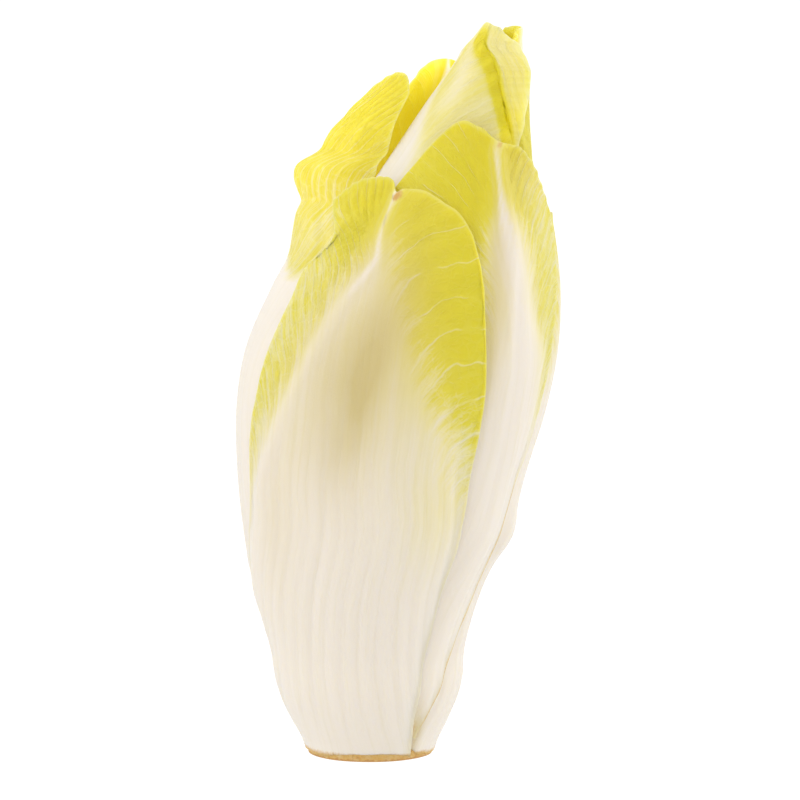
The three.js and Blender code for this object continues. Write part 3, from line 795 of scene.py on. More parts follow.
def walked(points, axis):
    """Length walked over the points along an axis, in millimetres."""
    steps = np.linalg.norm(np.diff(points, axis=axis), axis=-1)
    start = np.zeros_like(np.take(steps, [0], axis=axis))
    return np.concatenate([start, np.cumsum(steps, axis=axis)], axis=axis)


def ways(points):
    """Directions across and up a surface of rows and columns, not yet of length 1."""
    return np.gradient(points, axis=1), np.gradient(points, axis=0)


def unit(way):
    """The same direction with length 1."""
    return way / np.maximum(np.linalg.norm(way, axis=-1, keepdims=True), 1e-9)


# ---- looks of a leaf --------------------------------------------------------------------------

# What the materials read at each point of a leaf.
FINISH_LAYERS = ("side", "rise", "out", "tone", "vein", "weft", "khaki", "lit", "brown", "edge", "blade")


def rib_lines(leaf):
    """The two sides of the pale rib, as rows of height and azimuth."""
    if leaf.rib_left:
        return leaf.rib_left, leaf.rib_right
    return leaf.swell["left"], leaf.swell["right"]


def side_tint(out, z, half, start, full, width, strength, slant=TINT_SLANT):
    """Yellow of the blade beside the rib: none at the rib, strength at width from it."""
    wide = width * np.minimum(1, (half / TINT_FULL_WIDTH) ** 2)
    share = np.clip((out + TINT_OVER_RIB * wide) / ((1 + TINT_OVER_RIB) * wide), 0, 1)
    return strength * share * share * (3 - 2 * share) * smooth(z + slant * out, start, full)


def yellow_tone(leaf, points, azimuth, z, left_out, right_out):
    """How yellow the blade is, before its midribs are drawn."""
    half = along(leaf.form, z, 2)
    ragged = z + TINT_RAGGED * crinkle(points, 5, 17)
    on_left = side_tint(left_out, ragged, half, *leaf.tint["left"])
    on_right = side_tint(right_out, ragged, half, *leaf.tint["right"])
    start, full, strength = leaf.tint["top"]
    top = strength * smooth(ragged, start, full) * smooth(np.maximum(left_out, right_out), -1, 3)
    return sum(spots(leaf.glows, azimuth, z), np.maximum(np.maximum(on_left, on_right), top))


def vein_counts(leaf, z, left_out, right_out):
    """Number of each point's vein, counted up its side of the leaf, and that vein's height."""
    on_left = left_out > right_out
    counts = []
    for side, out in (("left", left_out), ("right", right_out)):
        spacing, climb, reach = leaf.veins[side]
        counts.append((z - climb * (1 - np.exp(-np.maximum(out, 0) / reach))) / spacing)
    vein = np.where(on_left, *counts)
    return vein, vein * np.where(on_left, leaf.veins["left"][0], leaf.veins["right"][0])


def low_margin_shade(leaf, z, to_side):
    """Painted shade: a faint khaki line along the flush margins of an outer leaf."""
    if leaf.slot != "outer_leaf":
        return 0
    return LOW_MARGIN_SHADE * bell(to_side, LOW_MARGIN_WIDTH) * (1 - parted(z))


def brown_tone(leaf, azimuth, z, finish):
    """Browned feet of the outer leaves, bruises, and a seam along one margin."""
    brown = np.zeros_like(z)
    if leaf.slot == "outer_leaf":
        brown = FOOT_BROWN * bell(z - LEAF_FOOT, FOOT_BROWN_HEIGHT)
    for bruise in spots(leaf.bruises, azimuth, z):
        brown = np.maximum(brown, bruise)
    if leaf.seam:
        line = bell(finish["to_" + leaf.seam["edge"]], along(leaf.seam["width"], z))
        line = line * plateau(z, leaf.seam["low"], leaf.seam["high"], SEAM_FADE)
        brown = np.maximum(brown, leaf.seam["strength"] * line)
    return brown


def finish_of(leaf, points, azimuth, z):
    """What the finish reads at each point of a leaf: distances in millimetres and shares."""
    low, high = (along(line, z) for line in rib_lines(leaf))
    radius = degree_length(leaf, z)
    left_out, right_out = (low - azimuth) * radius, (azimuth - high) * radius
    outside = np.maximum(left_out, right_out)
    over, up = walked(points, 1), walked(points, 0)
    finish = {"to_left": over, "to_right": over[:, -1:] - over, "to_foot": up}
    to_side, to_top = np.minimum(over, finish["to_right"]), up[-1:] - up

    tone = yellow_tone(leaf, points, azimuth, z, left_out, right_out)
    # The khaki layer is painted shade: the shade spots, lighter under pale midribs, and the line along
    # flush margins.
    khaki = sum(spots(leaf.stains, azimuth, z), np.zeros_like(z))
    for midrib in leaf.midribs:
        off = (azimuth - along(midrib["line"], z)) * radius
        run = plateau(z, midrib["low"], midrib["high"], MIDRIB_FADE)
        pale = midrib["strength"] * bell(off, midrib["width"]) * run
        tone = np.maximum(0, tone - pale)
        khaki = khaki * (1 - pale)
    vein, weft = vein_counts(leaf, z, left_out, right_out)
    return finish | {
        "to_side": to_side,
        "to_top": to_top,
        "edge": np.minimum(to_side, to_top),
        "side": (azimuth - (low + high) / 2) * radius,
        "rise": z,
        "out": np.maximum(outside, 0),
        "blade": smooth(outside, -1, 5),
        "tone": tone,
        "vein": vein,
        "weft": weft,
        "khaki": khaki + low_margin_shade(leaf, z, to_side),
        # Painted light: the glow of the light spots, fed to the emission.
        "lit": sum(spots(leaf.gleams, azimuth, z), np.zeros_like(z)),
        "brown": brown_tone(leaf, azimuth, z, finish),
    }


def fold_finish(finish, off, z):
    """Finish past a fold: painted shade, a deeper yellow, in the valley along it, and a flap with a tone
    and veins of its own.

    off is the distance past the fold, below 0 on the leaf itself.
    """
    folded = smooth(z, *FOLD_GROWS)
    before, after = VALLEY_WIDTHS
    # Painted shade in the crease of the fold, as a deeper yellow.
    valley_shade = np.where(off < 0, bell(off + VALLEY_SHIFT, before), bell(off, after))
    valley_shade = folded * VALLEY_SHADE * valley_shade * (1 - smooth(z, *VALLEY_ENDS))
    flap_tone = mixed(*FLAP_TONES, smooth(z, *FLAP_PALES))
    on_flap = folded * smooth(off, 0, FLAP_BORDER)
    finish["tone"] = mixed(finish["tone"], flap_tone, on_flap) + valley_shade
    past_fold = smooth(off, 0, FLAP_VEIN_BORDER)
    for layer, count in (("vein", FLAP_VEINS), ("weft", FLAP_WEFT)):
        finish[layer] = mixed(finish[layer], off * count + z * FLAP_DRIFT, past_fold)


# ---- small forms of a leaf ----------------------------------------------------------------------


def fine_relief(leaf, points, finish, azimuth, z, settings):
    """Outward shift in millimetres of the small forms: lips, flutes, crests, dents, blisters."""
    if leaf.ring:
        return np.zeros_like(z)
    shift = settings.lip / MM * bell(finish["edge"], LIP_WIDTH) * smooth(z, *LIP_GROWS)
    flutes = np.sin(2 * np.pi * finish["side"] / FLUTE_SPACING + 2 * crinkle(points, 40, 3))
    flutes = settings.flutes / MM * flutes * (1 - smooth(z, *FLUTES_END)) * smooth(z, *FLUTES_START)
    puckers = -np.cos(2 * np.pi * (finish["vein"] + 0.5 * crinkle(points, 11, 9)))
    puckers = puckers * smooth(finish["out"], *PUCKERS_START)
    for side in ("to_left", "to_right"):
        puckers = puckers * smooth(finish[side], 0, PUCKERS_END)
    blisters = settings.blisters / MM * crinkle(points, BLISTER_LENGTH, 5) * finish["tone"]
    swerve = settings.swerve / MM * crinkle(points, SWERVE_LENGTH, 7) * smooth(z, *SWERVE_GROWS)
    puckers = settings.puckers / MM * puckers * finish["tone"]
    shift = shift + flutes + puckers + blisters + swerve
    for crest in leaf.crests:
        off = (azimuth - along(crest["line"], z)) * degree_length(leaf, z)
        run = plateau(z, crest["low"], crest["high"], CREST_FADE)
        shift = shift + crest["height"] * bell(off, crest["width"]) * run
    for dent in spots(leaf.dents, azimuth, z):
        shift = shift - dent
    return shift * bare_share(leaf, azimuth, z)


def pressed(leaf, finish, z, settings):
    """How far the margins that lie on another leaf are pressed down onto it."""
    depth = np.zeros_like(z)
    most = settings.press / MM * parted(z)
    for side, (low, high) in leaf.press.items():
        near = 1 - smooth(finish["to_" + side], 0, settings.press_width / MM)
        depth = depth + most * near * plateau(z, low, high, PRESS_FADE)
    return depth


def thinned(thick, finish, z, settings):
    """Thickness of the finished leaf: rounded at its edges, and less where it is yellow."""
    least = mixed(LOW_EDGE_SHARE, settings.edge_share, parted(z))
    thinner = thick * mixed(least, 1, smooth(finish["edge"], 0, settings.edge_round / MM))
    return thinner * mixed(1, settings.blade_share, smooth(finish["tone"], *THIN_BLADE))


def uneven(leaf, points, finish, settings):
    """Small shifts of the margins within the leaf, so that no edge is a drawn curve."""
    over, up = (unit(way) for way in ways(points))
    wander = crinkle(points, NIBBLE_LENGTH, 11) + 0.5 * crinkle(points, 2, 13)
    wander = wander * settings.nibble / MM * leaf.frayed
    sides = bell(finish["to_side"], NIBBLE_DEPTH) * smooth(points[..., 2], *NIBBLE_GROWS)
    top = bell(finish["to_top"], NIBBLE_DEPTH)
    return points + (wander * sides)[..., None] * over + (wander * top)[..., None] * up


def stretched(leaf, points, azimuth, z, finish):
    """Tips curled out or drawn up, and feet drawn down onto the rim of the core."""
    drawn = points.copy()
    if leaf.curl:
        start, full = leaf.curl["start"], leaf.curl["full"]
        lean = leaf.curl["out"] * np.maximum(0, (z - start) / (full - start)) ** CURL_SHARPNESS
        drawn[..., 0] += lean * np.sin(np.radians(azimuth))
        drawn[..., 1] -= lean * np.cos(np.radians(azimuth))
    if leaf.lift:
        middle, half, start = leaf.lift["azimuth"], leaf.lift["width"] / 2, leaf.lift["start"]
        near = plateau(azimuth, middle - half, middle + half, half)
        drawn[..., 2] += leaf.lift["height"] * near * smooth(z, start, start + LIFT_FADE)
    if leaf.slot == "outer_leaf":
        foot = bell(finish["to_foot"], FOOT_REACH) * (1 - smooth(z, *FOOT_ENDS))
        ragged = 1 + FOOT_RAGGED * crinkle(points * [1, 1, 0], 3, 31)
        drawn[..., 2] -= FOOT_DROP * foot * ragged
    return drawn


def leaf_sheet(leaf, settings):
    """Middle surface of a finished leaf, with its thickness and finish."""
    u, v, flap = grid_places(leaf)
    points, thick, azimuth, z = surface(leaf, u, v)
    if leaf.flap:
        points = with_flap(leaf, points, flap, azimuth)
    finish = finish_of(leaf, points, azimuth, z)
    if leaf.flap:
        fold = np.argmax(u[0])  # the first column on the right edge
        fold_finish(finish, finish["to_left"] - finish["to_left"][:, [fold]], z)
    thinner = thinned(thick, finish, z, settings)
    shift = fine_relief(leaf, points, finish, azimuth, z, settings)
    shift = shift - pressed(leaf, finish, z, settings) + (thick - thinner) / 2
    points = points + unit(np.cross(*ways(points))) * shift[..., None]
    points = uneven(leaf, points, finish, settings)
    return stretched(leaf, points, azimuth, z, finish), thinner, finish


# ---- shader maths -----------------------------------------------------------------------------


def math_operator(operation, reflected=False):
    """A method that adds the Math node of an operator."""

    def method(self, other):
        values = (other, self) if reflected else (self, other)
        return self.graph.math(operation, *values)

    return method


class Signal:
    """A socket whose operators add Math nodes, so that shader maths reads as an expression."""

    def __init__(self, graph, socket):
        self.graph = graph
        self.socket = socket

    __add__ = math_operator("ADD")
    __radd__ = math_operator("ADD", reflected=True)
    __sub__ = math_operator("SUBTRACT")
    __rsub__ = math_operator("SUBTRACT", reflected=True)
    __mul__ = math_operator("MULTIPLY")
    __rmul__ = math_operator("MULTIPLY", reflected=True)
    __truediv__ = math_operator("DIVIDE")
    __rtruediv__ = math_operator("DIVIDE", reflected=True)


class Graph:
    """The node tree of a new material or world."""

    def __init__(self, owner):
        self.owner = owner
        owner.use_nodes = True
        self.tree = owner.node_tree
        self.tree.nodes.clear()

    def node(self, kind, settings=None, sockets=None, output=0):
        """A node of a kind, with its settings first and then its sockets' values or links."""
        made = self.tree.nodes.new(kind)
        for key, value in (settings or {}).items():
            if key == "stops":
                self.set_stops(made.color_ramp, value)
            else:
                setattr(made, key, value)
        for key, value in (sockets or {}).items():
            if isinstance(value, Signal):
                self.tree.links.new(value.socket, made.inputs[key])
            else:
                made.inputs[key].default_value = value
        return Signal(self, made.outputs[output]) if made.outputs else made

    @staticmethod
    def set_stops(ramp, stops):
        """Gives a colour ramp its stops, each a place and a colour."""
        while len(ramp.elements) < len(stops):
            ramp.elements.new(1)
        for element, (place, shade) in zip(ramp.elements, stops):
            element.position = place
            element.color = opaque(shade)

    def math(self, operation, *values):
        """A Math node on those values."""
        return self.node("ShaderNodeMath", {"operation": operation}, dict(enumerate(values)))

    def layer(self, name):
        """A number that each vertex holds in an attribute."""
        return self.node("ShaderNodeAttribute", {"attribute_name": name}, output=2)

    def own_place(self):
        """Place in the piece's own coordinates, in metres."""
        return self.node("ShaderNodeTexCoord", output=3)

    def point(self, x, y, z=0.0):
        """A vector of three numbers."""
        return self.node("ShaderNodeCombineXYZ", None, {0: x, 1: y, 2: z})

    def parts(self, vector):
        """The three numbers of a vector."""
        first = self.node("ShaderNodeSeparateXYZ", None, {0: vector})
        return [Signal(self, socket) for socket in first.socket.node.outputs]

    def noise(self, place, scale, detail=2.0, roughness=0.5):
        """Smooth noise from 0 to 1, with as many bumps as scale in one unit of place."""
        sockets = {"Vector": place, "Scale": scale, "Detail": detail, "Roughness": roughness}
        return self.node("ShaderNodeTexNoise", None, sockets)

    def step(self, value, low, high):
        """0 at low, 1 at high, and a smooth step between."""
        sockets = {"Value": value, "From Min": low, "From Max": high}
        return self.node("ShaderNodeMapRange", {"interpolation_type": "SMOOTHSTEP"}, sockets)

    def line(self, count, width):
        """Lines where count is a whole number, of a width that is a share of their spacing."""
        off = self.math("ABSOLUTE", self.math("FRACT", count) - 0.5)
        return self.step(off, 0.5 - width / 2, 0.5)

    def mix(self, share, first, second):
        """The colour at a share of the way from the first to the second."""
        return self.node("ShaderNodeMix", {"data_type": "RGBA"}, {0: share, 6: first, 7: second}, output=2)

    def bump(self, height, strength, distance):
        """Normals of a fine relief."""
        sockets = {"Height": height, "Strength": strength, "Distance": distance}
        return self.node("ShaderNodeBump", None, sockets)

    def principled(self, sockets):
        """Ends a material in a Principled shader with those sockets."""
        shader = self.node("ShaderNodeBsdfPrincipled", None, sockets)
        self.node("ShaderNodeOutputMaterial", None, {"Surface": shader})
        return self.owner


def opaque(shade):
    """A colour with its alpha."""
    return (*shade[:3], 1.0)


# ---- materials --------------------------------------------------------------------------------

# Veins from the finest to the main ones: how many there are to each main vein, how much they
# shiver, their width over their spacing, the scale of the patches where they break off, how
# much breaks off, and how pale they are.
VEIN_SIZES = (
    dict(count=7, shiver=1.5, width=0.5, scale=0.5, broken=0.4, pale=0.4),
    dict(count=3, shiver=1.2, width=0.3, scale=0.3, broken=0.4, pale=0.55),
    dict(count=1, shiver=0.0, width=0.13, scale=0.16, broken=0.3, pale=0.9),
)
VEIN_BREAK = 0.2  # how softly they break off
NET_SCALE = 0.4  # cells in a millimetre of the net between them
NET_WIDTH = 0.1
NET_PALE = 0.35
HALO_WIDTH = 0.55  # pale band beside a main vein, over their spacing
HALO_PALE = 0.22
RING_SPACING = 3.1  # between the rings of bundles of the cut


def vein_network(graph, vein, side, rise, wander, shiver):
    """How much of a vein is at a point: main ones with a halo, finer ones and a net between."""
    place = graph.point(side, rise)
    warped = graph.point(side + shiver * 2.2, rise + wander * 3.0)
    sockets = {"Vector": warped, "Scale": NET_SCALE}
    cells = graph.node("ShaderNodeTexVoronoi", {"feature": "DISTANCE_TO_EDGE"}, sockets)
    veins = (1 - graph.step(cells, 0.0, NET_WIDTH)) * NET_PALE
    main = vein + wander * 0.9 + shiver * 0.12
    for size in VEIN_SIZES:
        line = graph.line(main * size["count"] + shiver * size["shiver"], size["width"])
        patches = graph.noise(place, size["scale"], 1)
        whole = graph.step(patches, size["broken"], size["broken"] + VEIN_BREAK)
        veins = graph.math("MAXIMUM", line * whole * size["pale"], veins)
    return veins + graph.line(main, HALO_WIDTH) * HALO_PALE


def leaf_material(name, settings, vein_strength, glow_depth):
    """Waxy leaf: cream rib, yellow blade with pale veins, browned foot, spots and seams, a khaki coat of
    painted shade, and painted light that glows through the emission.
    """
    graph = Graph(bpy.data.materials.new(name))
    layers = (graph.layer(layer) for layer in FINISH_LAYERS)
    side, rise, out, tone, vein, weft, khaki, lit, brown, edge, blade = layers
    place = graph.point(side, rise)
    wander = graph.noise(place, 0.09) - 0.5
    shiver = graph.noise(place, 0.45) - 0.5
    cloud = graph.noise(place, 0.06, 3)
    grain = graph.noise(place, 2.2, 3)
    streaks = graph.noise(graph.point(side * 0.9 + wander * 1.5, rise * 0.022), 1.0, 4, 0.6)
    barbs = graph.point((weft + wander * 3.0) * 0.8, out * 0.11, rise * 0.01)
    feather = graph.noise(barbs, 1.0, 4, 0.65)

    on_blade = graph.step(tone, 0.08, 0.4) * blade
    veins = vein_network(graph, vein, side, rise, wander, shiver) * on_blade
    turning = tone * (1.15 - tone) * 4
    feathered = (feather - 0.5) * (on_blade + turning * blade * 2) * (vein_strength * 0.75)
    mottled = tone * (0.8 + cloud * 0.4) + feathered
    veined = mottled * (1 - veins * vein_strength)
    yellow = veined + (streaks - 0.5) * 0.6 * turning * (1 - on_blade)
    stops = [(0.0, settings.cream), (0.3, settings.pale), (0.65, settings.yellow), (1.0, settings.deep)]
    base = graph.node("ShaderNodeValToRGB", {"stops": stops}, {0: yellow * 0.9})

    browned = graph.step(brown + (grain - 0.5) * 0.4 + (streaks - 0.5) * 0.3, 0.25, 0.85)
    coats = [
        (graph.step(streaks, 0.45, 0.75) * 0.3 * (1 - on_blade), settings.greenish),
        # Khaki coat: the painted shade of the khaki layer.
        (graph.math("MINIMUM", khaki * (0.75 + cloud * 0.5), 0.9), settings.khaki),
        (graph.step(edge, 0.9, 0.1) * 0.3 * blade, settings.pale),
        (browned, settings.brown),
    ]
    for share, shade in coats:
        base = graph.mix(share, base, opaque(shade))

    relief = veins * 0.55 + streaks * 0.5 + feather * on_blade * 0.6 + grain * 0.12
    graph.owner.cycles.emission_sampling = "NONE"
    return graph.principled({
        "Base Color": base,
        # Painted light: the leaf's own colour glows from the emission where the light spots are.
        "Emission Color": graph.mix(lit, (0, 0, 0, 1), base),
        "Emission Strength": 1.0,
        "Roughness": 0.36 + streaks * 0.14 + browned * 0.2,
        "Normal": graph.bump(relief, 0.6, 0.35 * MM),
        "Subsurface Weight": 0.8,
        "Subsurface Radius": (1.0, 0.97, 0.75),
        "Subsurface Scale": glow_depth,
    })


def core_material(settings):
    """Cut root end: tan flesh with rings of bundles, browned unevenly towards its rim."""
    graph = Graph(bpy.data.materials.new("cut_core"))
    sockets = {0: graph.own_place(), "Scale": 1 / MM}
    place = graph.node("ShaderNodeVectorMath", {"operation": "SCALE"}, sockets)
    x, y, height = graph.parts(place)
    radius = graph.math("SQRT", x * x + y * y)
    out = radius / CUT_RADIUS
    patches = graph.noise(place, 0.35, 4)
    fibres = graph.noise(place, 1.6, 4)
    rings = graph.line(radius / RING_SPACING + (patches - 0.5) * 0.5, 0.35)
    browned = graph.step(out + (patches - 0.5) * 0.9 + (fibres - 0.5) * 0.5, 0.55, 1.1)
    on_rim = graph.step(out, 0.93, 0.98)
    edges = on_rim * (graph.step(height, 0.6, 0.0) * 1.6 + graph.step(height, 1.4, 2.1))
    speckled = graph.step(fibres + edges * 0.25, 0.52, 0.75)
    flesh = graph.mix(rings * 0.45, opaque(settings.flesh), opaque(settings.khaki))
    toned = graph.mix(browned, flesh, opaque(settings.brown))
    return graph.principled({
        "Base Color": graph.mix(speckled * 0.75, toned, opaque(settings.dark_brown)),
        "Roughness": 0.6 + patches * 0.25,
        "Normal": graph.bump(fibres + rings * 0.4, 0.7, 0.4 * MM),
        "Subsurface Weight": 0.25,
        "Subsurface Radius": (1.0, 0.6, 0.3),
        "Subsurface Scale": 1.5 * MM,
    })


def table_material(settings):
    """White table that glows like a light box, so that little shadow shows on it."""
    graph = Graph(bpy.data.materials.new("white_table"))
    speck = graph.noise(graph.own_place(), 600)
    sockets = {"Color": (0.15, 0.15, 0.15, 1), "Roughness": 0.6 + speck * 0.1}
    matt = graph.node("ShaderNodeBsdfDiffuse", None, sockets)
    sockets = {"Color": (1, 1, 1, 1), "Strength": settings.table_glow}
    glow = graph.node("ShaderNodeEmission", None, sockets)
    both = graph.node("ShaderNodeAddShader", None, {0: matt, 1: glow})
    graph.node("ShaderNodeOutputMaterial", None, {"Surface": both})
    return graph.owner


# ---- meshes -----------------------------------------------------------------------------------


def cleared():
    """Nothing stays selected, so that operators act on new pieces only."""
    if bpy.context.object and bpy.context.object.mode != "OBJECT":
        bpy.ops.object.mode_set(mode="OBJECT")
    bpy.ops.object.select_all(action="DESELECT")


def new_piece(name):
    """The primitive that was just added, under a name of its own, and its vertices' places."""
    piece = bpy.context.object
    piece.name = name
    piece.data.name = name
    flat = np.zeros(len(piece.data.vertices) * 3)
    piece.data.vertices.foreach_get("co", flat)
    return piece, flat.reshape(-1, 3)


def shaped(piece, points):
    """Moves the vertices of a piece to points in millimetres."""
    piece.data.vertices.foreach_set("co", (points * MM).ravel())
    piece.data.update()


def applied(piece, kind, **values):
    """Adds a modifier with those values and applies it."""
    modifier = piece.modifiers.new(kind.lower(), kind)
    for key, value in values.items():
        setattr(modifier, key, value)
    bpy.context.view_layer.objects.active = piece
    bpy.ops.object.modifier_apply(modifier=modifier.name)


def placed(piece, node, material):
    """A finished piece takes its material, rides the head and stands for its node."""
    piece.data.materials.clear()
    piece.data.materials.append(material)
    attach(piece, BODY)
    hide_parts(node)


def thickened(piece, thick):
    """Gives a sheet its thickness in millimetres, which follows a vertex group."""
    most = float(thick.max())
    group = piece.vertex_groups.new(name="thickness")
    for index, share in enumerate(thick / most):
        group.add([index], float(share), "REPLACE")
    applied(
        piece, "SOLIDIFY", thickness=most * MM, offset=0, use_rim=True,
        vertex_group=group.name, thickness_vertex_group=0,
    )
    piece.vertex_groups.clear()


def piece_name(node):
    """leaf_bud_tall becomes bud_tall_leaf."""
    first, *rest = node.split("_")
    return "_".join([*rest, first])


def shaped_leaf(leaf, settings, material):
    """Lays a flat grid over the head as this leaf, with its finish in attributes."""
    cleared()
    bpy.ops.mesh.primitive_grid_add(x_subdivisions=leaf.columns, y_subdivisions=leaf.rows, size=1)
    piece, flat = new_piece(piece_name(leaf.node))
    column = np.rint((flat[:, 0] + 0.5) * leaf.columns).astype(int)
    row = np.rint((flat[:, 1] + 0.5) * leaf.rows).astype(int)
    points, thick, finish = leaf_sheet(leaf, settings)
    shaped(piece, points[row, column])
    for name in FINISH_LAYERS:
        layer = piece.data.attributes.new(name, "FLOAT", "POINT")
        layer.data.foreach_set("value", finish[name][row, column].astype(np.float32))
    thickened(piece, thick[row, column])
    bpy.ops.object.shade_smooth_by_angle(angle=settings.crisp_angle)
    placed(piece, leaf.node, material)


# ---- core -------------------------------------------------------------------------------------

RIM_HEIGHT = 2.0
NECK_RADIUS = 9.2
RIM_LENGTH = 7  # length of the unevenness of the rim
FACE_BAND = 0.1  # vertices this near the cut's plane are of its face
FACE_ENDS = (CUT_RADIUS - 2, CUT_RADIUS - 0.5)  # radii between which its roughness ends
RIM_BAND = 0.5  # and vertices this near the rim's height are of its upper edge
# Radius and height of the rings of the core, from the middle of its cut face to its tip.
CORE_PROFILE = [
    (0, 0), (1.2, 0), (2.4, 0), (3.6, 0), (4.8, 0), (6, 0), (7.2, 0), (8.4, 0), (9.4, 0),
    (10.3, 0), (11.3, 0), (12.2, 0), (12.45, 0.05), (12.5, 0.25), (12.5, 0.7), (12.5, 1.15),
    (12.5, 1.5), (12.4, 1.8), (12.0, 2.0), (11.2, 2.1), (10.2, 2.1), (9.3, 2.2), (9.0, 3.5),
    (8.9, 6), (8.2, 10), (7.4, 14), (6.2, 20), (4.8, 26), (3.6, 31), (2.2, 36), (1.0, 41), (0, 44),
]


def round_axis(turn, radius, height):
    """Points round the core's axis."""
    return np.stack([np.cos(turn) * radius, np.sin(turn) * radius, height], -1)


def shaped_core(settings, material):
    """A ball drawn out ring by ring: cut face, uneven rim, neck and the cone inside the leaves."""
    cleared()
    rings = len(CORE_PROFILE) - 1
    bpy.ops.mesh.primitive_uv_sphere_add(segments=settings.core_segments, ring_count=rings, radius=1)
    piece, ball = new_piece("root_core")
    ring = np.rint(rings * (1 - np.arccos(np.clip(ball[:, 2], -1, 1)) / np.pi)).astype(int)
    radius, height = np.array(CORE_PROFILE).T[:, ring]
    turn = np.arctan2(ball[:, 1], ball[:, 0])
    outer = smooth(radius, NECK_RADIUS, CUT_RADIUS)
    wander = crinkle(round_axis(turn, CUT_RADIUS, height), RIM_LENGTH, 21)
    rim_wander = settings.rim_wander / MM
    radius = radius + outer * rim_wander * wander
    points = round_axis(turn, radius, height)
    rough = crinkle(points, 4, 23) + 0.5 * crinkle(points, 1.6, 25)
    face = bell(height, FACE_BAND) * (1 - smooth(radius, *FACE_ENDS))
    rim_top = bell(height - RIM_HEIGHT, RIM_BAND) * outer
    face = face * settings.cut_relief / MM * (0.5 + 0.5 * rough)
    points[:, 2] += face + rim_top * rim_wander * rough
    shaped(piece, points)
    bpy.ops.object.shade_smooth_by_angle(angle=settings.crisp_angle)
    placed(piece, "core", material)


# ---- stage (metres) -----------------------------------------------------------------------------

TABLE_SIZE = 6
TABLE_DROP = 0.05 * MM  # so that the table's face isn't in the plane of the cut
BACKDROP_WHITE = 1.1
HEAD_MIDDLE = Vector((0.004, 0, 0.075))
# Name, place and size of the soft lamps, which look at the head's middle.
LAMPS = [
    ("key", (-0.5, -0.35, 0.6), 0.5),
    ("left", (-0.7, 0.0, 0.15), 0.5),
    ("fill", (0.6, 0.1, 0.3), 0.5),
    ("front", (-0.25, -0.8, 0.45), 0.6),
]
CAMERA_DISTANCE = 0.9
CAMERA_ELEVATION = 6.5
CAMERA_TARGET = Vector((0.006, 0, 0.0712))
CAMERA_LENS = 202.5
SENSOR_WIDTH = 36


def turned_to(way):
    """Rotation of a lamp or camera that looks along a way."""
    return way.to_track_quat("-Z", "Y").to_euler()


def add_table(settings):
    """White table, seen by the camera but throwing no light of its own on the head."""
    cleared()
    bpy.ops.mesh.primitive_plane_add(size=TABLE_SIZE, location=(0, 0, -TABLE_DROP))
    table = bpy.context.object
    table.name = "table"
    table.data.materials.append(table_material(settings))
    table.visible_diffuse = False
    table.visible_glossy = False


def add_sky(scene, settings):
    """White backdrop for the camera, which lights the head a little less brightly."""
    graph = Graph(bpy.data.worlds.new("white_room"))
    seen = graph.node("ShaderNodeLightPath")  # its first socket: seen by the camera
    sockets = {"Value": seen, "To Min": settings.sky, "To Max": BACKDROP_WHITE}
    strength = graph.node("ShaderNodeMapRange", None, sockets)
    sockets = {"Color": (1, 1, 1, 1), "Strength": strength}
    background = graph.node("ShaderNodeBackground", None, sockets)
    graph.node("ShaderNodeOutputWorld", None, {"Surface": background})
    scene.world = graph.owner
    scene.view_settings.view_transform = "Standard"


def add_lamp(scene, name, place, size, power):
    """A soft square lamp that looks at the head's middle."""
    light = bpy.data.lights.new(name, "AREA")
    light.size = size
    light.energy = power
    lamp = bpy.data.objects.new(name, light)
    scene.collection.objects.link(lamp)
    lamp.location = place
    lamp.rotation_euler = turned_to(HEAD_MIDDLE - Vector(place))


def add_camera(scene):
    """A long lens a little above the head's middle, in front of it."""
    lens = bpy.data.cameras.new("camera")
    lens.sensor_width = SENSOR_WIDTH
    lens.lens = CAMERA_LENS
    lens.clip_start = 0.01
    camera = bpy.data.objects.new("camera", lens)
    scene.collection.objects.link(camera)
    tilt = math.radians(CAMERA_ELEVATION)
    back = Vector((0, -math.cos(tilt), math.sin(tilt)))
    camera.location = CAMERA_TARGET + back * CAMERA_DISTANCE
    camera.rotation_euler = turned_to(-back)
    scene.camera = camera


# ---- settings, operators and panel --------------------------------------------------------------


def size_setting(name, description, default):
    """A length, given here in millimetres and held in metres."""
    return FloatProperty(
        name=name, description=description, default=default * MM, unit="LENGTH", precision=5
    )


def share_setting(name, description, default):
    """A share from 0 to 1."""
    return FloatProperty(
        name=name, description=description, default=default, min=0, max=1, subtype="FACTOR"
    )


def colour_setting(name, description, default):
    """A colour."""
    return FloatVectorProperty(name=name, description=description, default=default, subtype="COLOR")


def power_setting(name, description, default):
    """The power of a lamp."""
    return FloatProperty(name=name, description=description, default=default, subtype="POWER")


